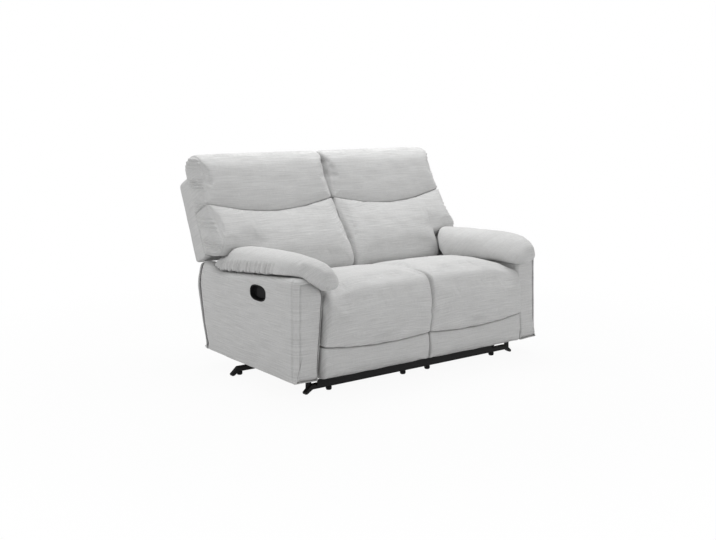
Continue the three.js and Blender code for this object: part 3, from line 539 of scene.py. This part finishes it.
def build_seat():
    section = outline([
        (0.618, 0.336, 0.01), (0.620, 0.416, 0.03), (0.50, 0.450, 0.1), (0.30, 0.487, 0.12),
        (0.10, 0.500, 0.10), (-0.022, 0.488, 0.05), (-0.048, 0.43, 0.06), (-0.054, 0.32, 0.08),
        (-0.027, CHAISE_BOTTOM, 0.008), (PAD_BACK - 0.002, CHAISE_BOTTOM, 0.004), (PAD_BACK - 0.002, 0.392, 0.004),
        (0.066, 0.408, 0.004), (0.068, 0.336, 0.004),
    ], 280)
    rings = []
    for place in stations(47):
        x = mix(SEAT_X[0] + SKIN, SEAT_X[1] - SKIN, (place + 1) / 2)
        height = two_ends(place, (0.97, 20), (0.86, 12))
        height *= 1 - 0.26 * ease(place, 0.25, 1) - 0.02 * ease(-place, 0.3, 1)
        depth = two_ends(place, (0.96, 20), (0.86, 14))
        y, z = section[:, 0], section[:, 1]
        front = np.where(y < PAD_BACK, PAD_BACK + (y - PAD_BACK) * depth, y)
        top = np.where(z > SEAT_BOTTOM, SEAT_BOTTOM + (z - SEAT_BOTTOM) * height, z)
        low = seam_height(place) + 0.001
        stretch = (SEAT_BOTTOM - low) / (SEAT_BOTTOM - CHAISE_BOTTOM)
        drop = np.where(z < SEAT_BOTTOM, SEAT_BOTTOM - (SEAT_BOTTOM - z) * stretch, top)
        spread = (CHAISE_OUTER - SEAT_X[1]) * ease(place, 0.2, 1) * (1 - ease(drop, 0.24, SEAT_BOTTOM))
        rings.append(np.stack([x + spread, front, drop], axis=1))
    seat = loft("seat_and_chaise_right", rings)

    def pinned(points):
        x, y, z = points.T
        chaise = y < CHAISE_REAR
        hidden = ease(y, 0.028, 0.034) * (1 - ease(z, 0.405, 0.412)) * chaise
        seam = (1 - ease(z - seam_height(seat_place(x)), 0.003, 0.010)) * chaise
        under = (1 - ease(z, 0.338, 0.35)) * ~chaise
        return np.maximum.reduce([hidden, seam, under, ease(y, *SEAT_REAR_PINS)])

    puff(seat, SEAT_VOXEL, PRESSURE, 0.014, pinned)
    points = get_points(seat)
    outer = mix(CHAISE_OUTER, SEAT_LIMIT, ease(points[:, 2], 0.24, SEAT_BOTTOM))
    points[:, 0] = np.clip(points[:, 0], MIDDLE_GAP, outer)
    above_seam = np.maximum(points[:, 2], seam_height(seat_place(points[:, 0])) + SEAM_GAP)
    points[:, 2] = np.where(points[:, 1] < CHAISE_REAR, above_seam, points[:, 2])
    set_points(seat, points)
    crease(seat, 0.055, 0.0014, 3.0)
    weave_map(seat, lambda p: p[:, 0], lambda p: p[:, 1] + p[:, 2])

    def settle(piece, side):
        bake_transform(piece)

    dress(seat, cushion_fabric)
    place_pair(seat, settle, ["seat_cushion", "chaise_pad"])


def build_footrest_pad():
    rings = []
    for place in stations(31):
        x = mix(SEAT_X[0] + SKIN, FOOTREST_OUTER - 0.002, (place + 1) / 2)
        depth = two_ends(place, (0.90, 16), (0.88, 16))
        top = seam_height(place) - 0.001
        section = outline([
            (PAD_BACK - 0.0005, PAD_BOTTOM + 0.004, 0.004), (PAD_BACK - 0.0005, top, 0.004), (-0.018, top, 0.006),
            (-0.028, mix(PAD_BOTTOM, top, 0.55), 0.05), (-0.018, PAD_BOTTOM + 0.006, 0.018),
        ], 120)
        y = PAD_BACK + (section[:, 0] - PAD_BACK) * depth
        rings.append(np.stack([np.full(len(y), x), y, section[:, 1]], axis=1))
    pad = loft("footrest_band_right", rings)

    def pinned(points):
        seam = ease(points[:, 2] - seam_height(seat_place(points[:, 0])), -0.010, -0.003)
        return np.maximum(ease(points[:, 1], 0.024, 0.032), seam)

    puff(pad, FINE_VOXEL, FOOTREST_PRESSURE, 0.007, pinned)
    points = get_points(pad)
    points[:, 0] = np.clip(points[:, 0], MIDDLE_GAP, FOOTREST_LIMIT)
    points[:, 2] = np.minimum(points[:, 2], seam_height(seat_place(points[:, 0])) - SEAM_GAP)
    set_points(pad, points)
    crease(pad, 0.05, 0.0008, 11.0)
    weave_map(pad, lambda p: p[:, 0], lambda p: p[:, 1] + p[:, 2])

    def settle(piece, side):
        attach(piece, f"footrest_{side}")

    dress(pad, cushion_fabric)
    place_pair(pad, settle, ["footrest_pad"])


# Back cushions, shaped in the back's own frame
def smile(place):
    return SMILE_END + SMILE_RISE * ease(place, 0, 1) - SMILE_DIP * (1 - place * place)


def back_place(x):
    return 2 * (x - BACK_X[0]) / (BACK_X[1] - BACK_X[0]) - 1


def lumbar_ring(x, full, under):
    """Section of the lumbar cushion; under has its lower corners from the front, as (growth in depth, up, radius)."""
    top = smile(back_place(x)) - 0.0005
    depth = LUMBAR_DEPTH * full
    face = [(0.022, 0.36, 0.09), (0.044, 0.27, 0.08)] + under
    section = outline(
        [(LUMBAR_REAR, under[-1][1], 0.006), (LUMBAR_REAR, top, 0.003), (LUMBAR_REAR - depth + 0.006, top, 0.006)]
        + [(LUMBAR_REAR - depth - more * full, up, radius) for more, up, radius in face[:-1]],
        190,
    )
    return np.stack([np.full(len(section), x), section[:, 0], section[:, 1]], axis=1)


def build_lumbar():
    """Body between the arms with a wing over each arm, sewn as one cushion."""
    inner, outer = BACK_X[0] + SKIN, BACK_X[1] - SKIN
    body, wing = [], []
    for place in stations(47):
        x = mix(inner, LUMBAR_BODY, (place + 1) / 2)
        full = edge_share(x - inner, LUMBAR_ROUND, LUMBAR_DEPTH)
        full *= edge_share(LUMBAR_BODY - x, BODY_ROUND, LUMBAR_DEPTH)
        under = [(0.058, 0.16, 0.06), (0.044, 0.080, 0.035), (-0.035, 0.062, 0.02), (0, 0.036, 0)]
        body.append(lumbar_ring(x, full, under))
    for place in stations(25):
        x = mix(LUMBAR_BODY - 0.04, outer, (place + 1) / 2)
        full = edge_share(outer - x, OUTER_ROUND, LUMBAR_DEPTH)
        low = WING_BOTTOM - mix(0.066, 0.036, ease(x, 0.60, 0.70))
        under = [
            (0.046, low + 0.022, 0.022), (0.018, low, 0.02), (-0.045, low + 0.004, 0.02), (0, WING_BOTTOM + 0.002, 0),
        ]
        wing.append(lumbar_ring(x, full, under))
    lumbar = loft("lumbar_pillow_right", body, wing)

    def pinned(points):
        rear = ease(points[:, 1], LUMBAR_REAR - 0.012, LUMBAR_REAR - 0.006)
        seam = ease(points[:, 2] - smile(back_place(points[:, 0])), -0.010, -0.003)
        return np.maximum(rear, seam)

    puff(lumbar, SEAT_VOXEL, PRESSURE, 0.014, pinned)
    points = get_points(lumbar)
    points[:, 0] = np.clip(points[:, 0], MIDDLE_GAP, BACK_X[1] + BACK_SWELL)
    points[:, 2] = np.minimum(points[:, 2], smile(back_place(points[:, 0])) - SEAM_GAP)
    set_points(lumbar, points)
    finish_back(lumbar, 23.0, 7.0, ["lumbar_cushion"])


def build_head():
    rings = []
    for place in stations(55):
        x = mix(BACK_X[0] + SKIN, BACK_X[1] - SKIN, (place + 1) / 2)
        full = edge_share(x - BACK_X[0], HEAD_ROUND, HEAD_DEPTH) * edge_share(BACK_X[1] - x, OUTER_ROUND, HEAD_DEPTH)
        bottom = smile(place) + 0.0005
        top = HEAD_TOP - mix(0.060, 0.034, place < 0) * (1 - two_ends(place, (0, 9), (0, 8)))
        front = CUSHION_REAR - HEAD_DEPTH * full
        section = outline([
            (CUSHION_REAR, bottom, 0.003), (CUSHION_REAR, top - 0.030, 0.03),
            (mix(CUSHION_REAR, front, 0.42), top, 0.04),
            (front - 0.006, top - 0.040, 0.055), (front - 0.010, mix(bottom, top, 0.62), 0.06),
            (front - 0.004, mix(bottom, top, 0.30), 0.06), (front + 0.006, bottom, 0.008),
        ], 180)
        rings.append(np.stack([np.full(len(section), x), section[:, 0], section[:, 1]], axis=1))
    head = loft("head_pillow_right", rings)

    def pinned(points):
        rear = ease(points[:, 1], CUSHION_REAR - 0.012, CUSHION_REAR - 0.006)
        seam = 1 - ease(points[:, 2] - smile(back_place(points[:, 0])), 0.003, 0.010)
        return np.maximum(rear, seam)

    puff(head, SEAT_VOXEL, PRESSURE, 0.014, pinned)
    points = get_points(head)
    points[:, 0] = np.clip(points[:, 0], MIDDLE_GAP, BACK_X[1] + BACK_SWELL)
    points[:, 2] = np.maximum(points[:, 2], smile(back_place(points[:, 0])) + SEAM_GAP)
    set_points(head, points)
    finish_back(head, 5.0, 17.0, ["head_cushion"])


def finish_back(piece, pucker_seed, crease_seed, nodes):
    """Sews the border round a back cushion's side, gathers the cloth of the side, and puts the cushion in place."""
    points, normals = get_points(piece), get_normals(piece)
    x, v, u = points.T
    outer = ease(x, 0.70, 0.72)
    border = outer * (1 - ease(np.abs(normals[:, 0] - BORDER_TURN), 0, 0.25))
    slant = u - 0.5 * v
    folds = np.sin(slant / 0.0029 + 2.4 * np.sin(slant / 0.026 + pucker_seed))
    folds *= 0.55 + 0.45 * np.sin(slant / 0.019 + 2 * pucker_seed)
    band = outer * ease(normals[:, 0], BORDER_TURN, 0.9) * (1 - 0.6 * ease(v, -0.13, -0.07))
    shift = band * folds * PUCKER_SIZE - border * BORDER_DEPTH
    set_points(piece, points + normals * shift[:, None])
    crease(piece, 0.06, 0.0014, crease_seed)
    side = ease(x, 0.730, 0.755)
    weave_map(piece, lambda p: p[:, 0] + side * (p[:, 1] + 0.19), lambda p: p[:, 2] - p[:, 1] * (1 - side))
    set_points(piece, in_back(get_points(piece)))

    def settle(made, side):
        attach(made, f"back_{side}")

    dress(piece, cushion_fabric)
    place_pair(piece, settle, nodes)


# Arm pillow at places along the arm: heights of its underside, inner lip, outer ridge and crown, and its
# inner and outer face
PILLOW_SECTIONS = [
    # place, underside, lip, ridge, crown, inner face, outer face
    (-0.086, 0.505, 0.500, 0.545, 0.550, 0.592, 0.640),
    (-0.078, 0.496, 0.484, 0.552, 0.563, 0.570, 0.657),
    (-0.060, 0.496, 0.472, 0.560, 0.577, 0.556, 0.668),
    (-0.030, 0.506, 0.464, 0.572, 0.590, 0.547, 0.684),
    (0.030, 0.526, 0.462, 0.582, 0.605, 0.540, 0.714),
    (0.100, 0.528, 0.464, 0.573, 0.611, 0.537, 0.735),
    (0.150, 0.523, 0.464, 0.565, 0.612, 0.535, 0.742),
    (0.300, 0.509, 0.457, 0.550, 0.610, 0.535, 0.744),
    (0.450, 0.496, 0.443, 0.537, 0.604, 0.535, 0.744),
    (0.520, 0.489, 0.434, 0.531, 0.600, 0.535, 0.744),
    (0.545, 0.487, 0.431, 0.529, 0.598, 0.539, 0.744),
    (0.560, 0.486, 0.430, 0.528, 0.596, 0.547, 0.744),
    (0.575, 0.485, 0.434, 0.527, 0.594, 0.560, 0.744),
    (0.590, 0.484, 0.444, 0.526, 0.591, 0.580, 0.744),
    (0.610, 0.482, 0.456, 0.524, 0.586, 0.598, 0.744),
    (0.630, 0.480, 0.468, 0.522, 0.572, 0.602, 0.744),
    (0.650, 0.479, 0.472, 0.519, 0.556, 0.602, 0.744),
    (0.700, 0.477, 0.474, 0.512, 0.540, 0.602, 0.743),
    (0.745, 0.480, 0.480, 0.506, 0.530, 0.603, 0.742),
    (0.762, 0.488, 0.490, 0.504, 0.515, 0.606, 0.738),
]
(
    PILLOW_PLACES, PILLOW_UNDER, PILLOW_LIP, PILLOW_RIDGE, PILLOW_CROWN, PILLOW_INNER, PILLOW_OUTER,
) = zip(*PILLOW_SECTIONS)


def build_pillow():
    stops = np.r_[
        -0.086, -0.083, -0.078, -0.070, -0.060, -0.046, -0.030,
        np.linspace(0.0, 0.52, 18), np.arange(0.53, 0.66, 0.01), np.linspace(0.665, 0.762, 8),
    ]
    rings = []
    for y in stops:
        under, lip, ridge, crown, inner, outer = (
            np.interp(y, PILLOW_PLACES, heights)
            for heights in (PILLOW_UNDER, PILLOW_LIP, PILLOW_RIDGE, PILLOW_CROWN, PILLOW_INNER, PILLOW_OUTER)
        )
        droop = 1 - ease(y, -0.03, 0.05)
        wide = outer - inner
        step = mix(ARM_INNER, inner + 0.62 * wide, droop)
        shoulder = mix(0.44, 0.28, ease(y, 0.0, 0.32))
        section = outline([
            (inner + 0.16 * wide, lip, 0.02), (inner, mix(lip, crown, 0.22), 0.035),
            (inner + (0.6 * shoulder - 0.13) * wide, mix(lip, crown, 0.68), 0.06),
            (inner + shoulder * wide, crown, 0.07), (inner + 0.62 * wide, crown, 0.06),
            (outer - 0.14 * wide, mix(ridge, crown, 0.6), 0.05),
            (outer - 0.010, ridge, 0.015), (outer + 0.001, mix(under, ridge, 0.2), 0.010),
            (mix(outer, step, 0.5), mix(under, lip, 0.3 * droop), 0.01),
            (step, mix(under, lip, 0.8 * droop), 0.008), (step - 0.006, mix(under, lip, 0.85), 0.008),
        ], 180)
        lean = ease(y, 0.38, 0.56) * math.tan(LEAN) * (section[:, 1] - PILLOW_LEAN_Z)
        rings.append(np.stack([section[:, 0], y + lean, section[:, 1]], axis=1))
    pillow = loft("arm_cushion_right", rings)

    def pinned(points):
        x, y, z = points.T
        under = np.interp(y, PILLOW_PLACES, PILLOW_UNDER)
        flat = (1 - ease(z - under, 0.004, 0.012)) * ease(x, 0.585, 0.60)
        return flat * ease(y, -0.01, 0.03)

    puff(pillow, FINE_VOXEL, PRESSURE, 0.010, pinned)
    points = get_points(pillow)
    x, y, z = points.T
    under, ridge = (np.interp(y, PILLOW_PLACES, heights) for heights in (PILLOW_UNDER, PILLOW_RIDGE))
    band = ease(y, GATHER_Y[0] - 0.06, GATHER_Y[0] + 0.04) * (1 - ease(y, GATHER_Y[1], GATHER_Y[1] + 0.04))
    band *= ease(x, 0.70, 0.72) * (1 - ease(z - ridge, 0.0, 0.022)) * ease(z - under, -0.008, 0.002)
    turn = y / GATHER_WAVE + 1.4 * np.sin(y / 0.021) + 0.5 * np.sin(y / 0.0087)
    folds = (2 * np.abs(np.sin(turn / 2)) - 1) * (0.75 + 0.25 * np.sin(y / 0.013))
    set_points(pillow, points + get_normals(pillow) * (band * (folds - 0.6) * GATHER_SIZE)[:, None])
    crease(pillow, 0.05, 0.0012, 29.0)
    side = ease(x, 0.705, 0.735)
    weave_map(pillow, lambda p: p[:, 0] + side * (0.60 - p[:, 2]), lambda p: p[:, 1] + p[:, 2] * (1 - side))

    def settle(piece, side):
        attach(piece, "root")

    dress(pillow, cushion_fabric)
    place_pair(pillow, settle, ["arm_pillow"])


# Arm cover: front panel and sides in one padded shell
# The section's corners are shares of its width and height; the top and the rear edge follow the tables
ARM_SECTION_SHARES = [
    (0.19, 0), (1, 0), (1, 1), (0.62, 1), (0.2, 0.95), (0, 0.865), (0, 0.76),
]
ARM_SECTION_ROUNDS = [0.006, 0.006, 0.034, 0.05, 0.04, 0.016, 0.02]
ARM_TOP_SHARES = (
    [0.0, 0.05, 0.39, 0.72, 0.77, 0.81, 0.85, 0.89, 0.93, 0.965, 1.0],
    [1, 1, 0.93, 0.872, 0.880, 0.915, 0.940, 0.942, 0.930, 0.900, 0.850],
)
ARM_REAR_SHARES = ([0.0, 0.30, 0.60, 0.74, 0.84, 0.95], [0.892, 0.945, 0.985, 1.0, 0.995, 0.975])


def build_arm():
    width, height = ARM_OUTER - ARM_INNER, ARM_TOP - SKIRT
    section = outline([
        (ARM_INNER + a * width, SKIRT + b * height, r) for (a, b), r in zip(ARM_SECTION_SHARES, ARM_SECTION_ROUNDS)
    ], 220)
    centre = section.mean(axis=0)

    above = mix(ARM_FLAT_RIM, 1, ease(section[:, 1], SKIRT, SKIRT + 0.04))
    towards_side = above * mix(ARM_FLAT_RIM, 1, ease(section[:, 0], ARM_INNER + 0.03, ARM_OUTER - 0.03))

    def ring(y, pull, shrink=1.0, crown=0.0):
        flat = inset(section, pull * (towards_side if y < ARM_DEPTH / 2 else above))
        flat = centre + (flat - centre) * shrink
        up = (flat[:, 1] - SKIRT) / height
        rear = np.interp(up, *ARM_REAR_SHARES) * ARM_DEPTH
        depth = y * rear / ARM_DEPTH
        top = np.interp(depth / ARM_DEPTH, *ARM_TOP_SHARES)
        z = SKIRT + (flat[:, 1] - SKIRT) * top
        return np.stack([flat[:, 0], depth - crown, z], axis=1)

    rim = [(ARM_RIM * (1 - math.sin(a)), ARM_RIM * (1 - math.cos(a))) for a in np.linspace(0, math.pi / 2, 6)]
    rings = [ring(0.0, ARM_RIM, s, 0.002 * (1 - s**4)) for s in (0.02, 0.25, 0.5, 0.7, 0.85, 0.95)]
    rings += [ring(y, pull) for y, pull in rim]
    stitching = ((-0.003, 0), (-0.0012, 0.0004), (0, 0.0010), (0.0012, 0.0004), (0.003, 0))
    rings += [ring(ARM_SEAM_Y + step, pull) for step, pull in stitching]
    rings += [ring(y, 0) for y in np.linspace(ARM_SEAM_Y + 0.02, ARM_DEPTH - 0.06, 44)]
    rings += [ring(ARM_DEPTH - ARM_REAR_ROUNDER * y, ARM_REAR_ROUNDER * pull) for y, pull in reversed(rim)]
    rings += [ring(ARM_DEPTH, ARM_REAR_ROUNDER * ARM_RIM, s) for s in (0.9, 0.7, 0.4, 0.02)]
    arm = loft("arm_upholstery_right", rings)
    subdivide(arm, 1)
    points = get_points(arm)
    x, y, z = points.T
    outer = ease(x, ARM_OUTER - 0.012, ARM_OUTER - 0.002)
    swell = ease(y, 0.03, 0.25) * (1 - ease(y, 0.62, 0.90)) * ease(z, SKIRT, 0.2) * (1 - ease(z, 0.40, 0.52))
    near_handle = np.exp(-(((y - HANDLE_Y) / 0.11) ** 2 + ((z - HANDLE_Z) / 0.07) ** 2))
    points[:, 0] += outer * ARM_SWELL * swell * (1 - near_handle)
    set_points(arm, points)
    keep = 1 - np.exp(-(((y - HANDLE_Y) / 0.09) ** 2 + ((z - HANDLE_Z) / 0.055) ** 2))
    crease(arm, 0.09, 0.0010, 41.0, keep)
    cutter = elliptic("handle_cutter", [(ARM_OUTER - HANDLE_DEPTH - 0.002, -0.0005), (ARM_OUTER + 0.02, -0.0005)])
    hole = arm.modifiers.new("hole", "BOOLEAN")
    hole.operation = "DIFFERENCE"
    hole.object = cutter
    apply_modifiers(arm)
    weave_map(arm, lambda p: p[:, 1] - p[:, 0], lambda p: p[:, 2])
    bpy.data.objects.remove(cutter)
    dress(arm, cushion_fabric)

    def settle(piece, side):
        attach(piece, "root")

    place_pair(arm, settle, ["arm_cover", "arm_front_panel"])


# Release handle
def elliptic(name, steps):
    """Oval skin round the handle's axis through steps of (x, growth of the oval's half sizes)."""
    turns = np.linspace(0, 2 * math.pi, 96, endpoint=False)
    power = 2 / HANDLE_SQUARENESS
    across, up = (np.sign(wave) * np.abs(wave) ** power for wave in (np.cos(turns), np.sin(turns)))
    rings = []
    for x, grow in steps:
        half = [size - HANDLE_FLANGE + grow for size in HANDLE_HALF]
        rings.append(np.stack([np.full(len(turns), x), HANDLE_Y + half[0] * across, HANDLE_Z + half[1] * up], axis=1))
    return loft(name, rings)


def build_handle():
    face = ARM_OUTER + HANDLE_PROUD
    back = ARM_OUTER - HANDLE_DEPTH
    bezel = elliptic("handle_ring_right", [
        (back + 0.0027, -0.0300), (back + 0.0027, -0.0200), (back + 0.0027, -0.0100), (back + 0.0045, -0.0050),
        (back + 0.008, -0.0030), (face - 0.003, -0.0022), (face - 0.0006, -0.0012), (face, 0.0),
        (face, HANDLE_FLANGE - 0.0016), (face - 0.0008, HANDLE_FLANGE - 0.0004), (ARM_OUTER + 0.0012, HANDLE_FLANGE),
        (ARM_OUTER + 0.0003, HANDLE_FLANGE - 0.0006), (ARM_OUTER + 0.0003, -0.001), (back + 0.0002, -0.001),
    ])
    shade_smooth(bezel)
    dress(bezel, black_plastic)
    place_pair(bezel, lambda piece, side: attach(piece, "root"), ["handle_bezel"])


def build_paddle():
    low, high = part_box("release_paddle_right")
    y0, y1 = low.y - FRONT_Y, high.y - FRONT_Y
    middle = (low.x + high.x) / 2
    rings = []
    for place in stations(25):
        y = mix(y0 + SKIN, y1 - SKIN, (place + 1) / 2)
        share = (place + 1) / 2
        half = 0.0235 * fullness(place, 0.30, 2.8)
        thick = 0.0028 * fullness(place, 0.35, 4)
        bow = 0.0022 * share * share
        section = outline([
            (middle - thick + bow, HANDLE_Z - half, 0.002), (middle + thick + bow, HANDLE_Z - half, 0.002),
            (middle + thick * 0.3 + bow, HANDLE_Z, 0.02), (middle + thick + bow, HANDLE_Z + half, 0.002),
            (middle - thick + bow, HANDLE_Z + half, 0.002),
        ], 48)
        rings.append(np.stack([section[:, 0], np.full(len(section), y), section[:, 1]], axis=1))
    paddle = loft("handle_paddle_right", rings)
    subdivide(paddle, 1)
    dress(paddle, black_plastic)
    place_pair(paddle, lambda piece, side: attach(piece, f"lever_{side}"), ["release_paddle"])


# Floor bars: square tube with tips bent down, a lip in front and tabs up to the arms
def slab(corners, axis, low, high):
    """Points and faces of a flat outline drawn out along an axis."""
    points = [np.insert(corner, axis, at) for at in (low, high) for corner in corners]
    size = len(corners)
    faces = [tuple(range(size)), tuple(range(2 * size - 1, size - 1, -1))]
    faces += [(at, (at + 1) % size, size + (at + 1) % size, size + at) for at in range(size)]
    return points, faces


def build_bar(name, node, y, reach, tab_x, lip):
    """One bar at y that reaches as far to each side, with its tabs at tab_x and, in front, a lip."""
    low, high = BAR_Z
    shoulder = reach - BAR_SLOPE
    half = [
        (shoulder, high), (reach - 0.003, 0.0085), (reach - 0.006, 0.0005), (reach - 0.016, 0.0005),
        (shoulder - 0.006, low),
    ]
    front, rear = y - BAR_HALF_DEPTH, y + BAR_HALF_DEPTH
    solids = [slab(half + [(-x, z) for x, z in reversed(half)], 1, front, rear)]
    for side in SIDES.values():
        ends = sorted((side * (tab_x - TAB_HALF_WIDTH), side * (tab_x + TAB_HALF_WIDTH)))
        tab = [
            (y - TAB_HALF_THICK, low + 0.004), (y + TAB_HALF_THICK, low + 0.004),
            (y + TAB_HALF_THICK, ARM_TAB_TOP), (y - TAB_HALF_THICK, ARM_TAB_TOP),
        ]
        solids.append(slab(tab, 0, *ends))
    if lip:
        section = [
            (front + 0.001, high - 0.0004), (front - 0.0075, high - 0.0004), (front - 0.0075, high + 0.0235),
            (front - 0.0115, high + 0.0235), (front - 0.0115, high - 0.0044), (front + 0.001, high - 0.0044),
        ]
        solids.append(slab(section, 0, *LIP_X))
    points, faces = [], []
    for more, sides in solids:
        faces += [tuple(len(points) + at for at in face) for face in sides]
        points += more
    bar = make(name, points, faces)
    edge = bar.modifiers.new("edge", "BEVEL")
    edge.width = 0.0012
    edge.segments = 2
    apply_modifiers(bar)
    shifted = get_points(bar)
    shifted[:, 1] += FRONT_Y
    set_points(bar, shifted)
    dress(bar, black_steel)
    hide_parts(node)
    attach(bar, "root")


# Rear shell of each back
def build_shell():
    corners = [
        (BACK_X[0] + SKIN, SHELL_BOTTOM, 0.006), (BACK_NARROW, SHELL_BOTTOM, 0.02),
        (BACK_NARROW, WING_BOTTOM, 0.006), (SHELL_OUTER, WING_BOTTOM, 0.012),
        (SHELL_OUTER, SHELL_TOP, 0.035), (BACK_X[0] + SKIN, SHELL_TOP, 0.02),
    ]
    section = outline(corners, 240)

    def ring(v, pull, shrink=1.0):
        flat = inset(section, pull)
        flat = SHELL_MIDDLE + (flat - SHELL_MIDDLE) * shrink
        return np.stack([flat[:, 0], np.full(len(flat), v), flat[:, 1]], axis=1)

    front, rear = SHELL_DEPTH
    turns = np.linspace(0, math.pi / 2, 7)
    rim = [(rear - SHELL_RIM * (1 - math.sin(a)), SHELL_RIM * (1 - math.cos(a))) for a in turns]
    rings = [ring(front, 0.006, s) for s in (0.02, 0.4, 0.8)]
    rings += [ring(front, 0.006), ring(front + 0.002, 0.002), ring(front + 0.006, 0)]
    rings += [ring(v, 0) for v in np.linspace(front + 0.012, rear - SHELL_RIM - 0.012, 6)]
    stitching = ((-0.003, 0), (-0.001, 0.001), (0, 0.0022), (0.001, 0.001), (0.003, 0))
    rings += [ring(rear - SHELL_RIM - 0.004 + step, pull) for step, pull in stitching]
    rings += [ring(v, pull) for v, pull in rim]
    rings += [ring(rear, SHELL_RIM, s) for s in (0.97, 0.85, 0.65, 0.4, 0.2, 0.02)]
    shell = loft("back_upholstery_right", rings)
    subdivide(shell, 1)
    points = get_points(shell)
    x, v, u = points.T
    hollow = ease(x, 0.0, 0.2) * (1 - ease(x, 0.55, 0.74)) * ease(u, 0.05, 0.3) * (1 - ease(u, 0.5, 0.69))
    points[:, 1] += ease(v, rear - 0.004, rear) * SHELL_HOLLOW * hollow
    set_points(shell, points)
    crease(shell, 0.10, 0.0010, 53.0)
    weave_map(shell, lambda p: p[:, 0] + p[:, 1], lambda p: p[:, 2])
    set_points(shell, in_back(get_points(shell)))
    dress(shell, cushion_fabric)
    place_pair(shell, lambda piece, side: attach(piece, f"back_{side}"), ["back_shell"])


build_seat()
build_footrest_pad()
build_lumbar()
build_head()
build_pillow()
build_arm()
build_handle()
build_paddle()
build_shell()
build_bar("floor_bar_front", "front_bar", FRONT_BAR_Y, FRONT_BAR_REACH, FRONT_TAB_X, lip=True)
build_bar("floor_bar_rear", "rear_bar", REAR_BAR_Y, REAR_BAR_REACH, REAR_TAB_X, lip=False)

# Frame parts that show as they are
FINISHES = {
    "black_steel": black_steel, "black_plastic": black_plastic, "spring_steel": spring_steel, "frame_wood": plywood,
    "cover_fabric": apron_fabric, "cushion_fabric": apron_fabric,
}
slots = {part["node"]: part["material_slot"] for part in frame["record"]["subparts"]}
for name, node in frame["nodes"].items():
    dress(node, FINISHES[slots[name]])

# Studio
CAMERA_PLACE = (-3.0853, -3.5861 + FRONT_Y, 1.2994)
CAMERA_YAW = math.radians(-36.73)
PHOTO_SIZE = (716, 540)
FOCAL_PIXELS = 995.53
HORIZON_PIXEL = 101.085
AMBIENT = 0.52
FLOOR_GLOW = 0.94


def plain(name, colour, glow):
    """Pale floor that keeps the shadow near the sofa and shows plain white further out."""
    made = Nodes(name)
    made.shader.inputs["Base Color"].default_value = (*colour, 1)
    made.shader.inputs["Roughness"].default_value = 0.9
    made.shader.inputs["Specular IOR Level"].default_value = 0.1
    rays = made.add("ShaderNodeLightPath")
    seen = made.value("MAXIMUM", rays.outputs["Is Camera Ray"], rays.outputs["Is Glossy Ray"])
    reach = made.add("ShaderNodeVectorMath", operation="LENGTH")
    made.link(made.add("ShaderNodeTexCoord").outputs["Object"], reach.inputs[0])
    share = made.add("ShaderNodeMapRange", interpolation_type="SMOOTHSTEP")
    made.link(reach.outputs["Value"], share.inputs["Value"])
    for socket, number in (("From Min", 1.2), ("From Max", 2.6), ("To Min", glow), ("To Max", 1.0)):
        share.inputs[socket].default_value = number
    light = made.add("ShaderNodeEmission")
    mixer = made.add("ShaderNodeMixShader")
    made.link(made.value("MULTIPLY", seen, share.outputs[0]), mixer.inputs[0])
    made.link(made.shader.outputs[0], mixer.inputs[1])
    made.link(light.outputs[0], mixer.inputs[2])
    made.link(mixer.outputs[0], made.tree.nodes["Material Output"].inputs[0])
    return made.material


floor = make("floor", [(-30, -30, 0), (30, -30, 0), (30, 30, 0), (-30, 30, 0)], [(0, 1, 2, 3)])
dress(floor, plain("floor", (0.75, 0.75, 0.75), FLOOR_GLOW))

world = bpy.data.worlds.new("studio")
scene.world = world
world.use_nodes = True
tree = world.node_tree
ambient = tree.nodes["Background"]
ambient.inputs[0].default_value = (1, 1, 1, 1)
ambient.inputs[1].default_value = AMBIENT
white = tree.nodes.new("ShaderNodeBackground")
white.inputs[0].default_value = (1, 1, 1, 1)
white.inputs[1].default_value = 1.0
rays = tree.nodes.new("ShaderNodeLightPath")
mixer = tree.nodes.new("ShaderNodeMixShader")
tree.links.new(rays.outputs["Is Camera Ray"], mixer.inputs[0])
tree.links.new(ambient.outputs[0], mixer.inputs[1])
tree.links.new(white.outputs[0], mixer.inputs[2])
tree.links.new(mixer.outputs[0], tree.nodes["World Output"].inputs[0])


def softbox(name, place, target, size, power):
    lamp = bpy.data.lights.new(name, "AREA")
    lamp.shape = "RECTANGLE"
    lamp.size, lamp.size_y = size
    lamp.energy = power
    holder = bpy.data.objects.new(name, lamp)
    holder.location = place
    holder.rotation_mode = "QUATERNION"
    holder.rotation_quaternion = (Vector(target) - Vector(place)).to_track_quat("-Z", "Y")
    scene.collection.objects.link(holder)


softbox("overhead", (0.5, 0.9, 3.6), (0, 0.1, 0.4), (3.6, 2.6), power=95)
softbox("front", (0.9, -4.4, 1.8), (0, 0, 0.4), (3.0, 2.0), power=25)
softbox("side", (-4.2, 0.9, 1.8), (0, 0, 0.4), (2.4, 2.0), power=22)

lens = bpy.data.cameras.new("camera")
lens.sensor_width = 36
lens.lens = lens.sensor_width * FOCAL_PIXELS / PHOTO_SIZE[0]
lens.shift_y = -(PHOTO_SIZE[1] / 2 - HORIZON_PIXEL) / PHOTO_SIZE[0]
camera = bpy.data.objects.new("camera", lens)
camera.location = CAMERA_PLACE
camera.rotation_euler = (math.pi / 2, 0, CAMERA_YAW)
scene.collection.objects.link(camera)
scene.camera = camera
scene.view_settings.view_transform = "Standard"
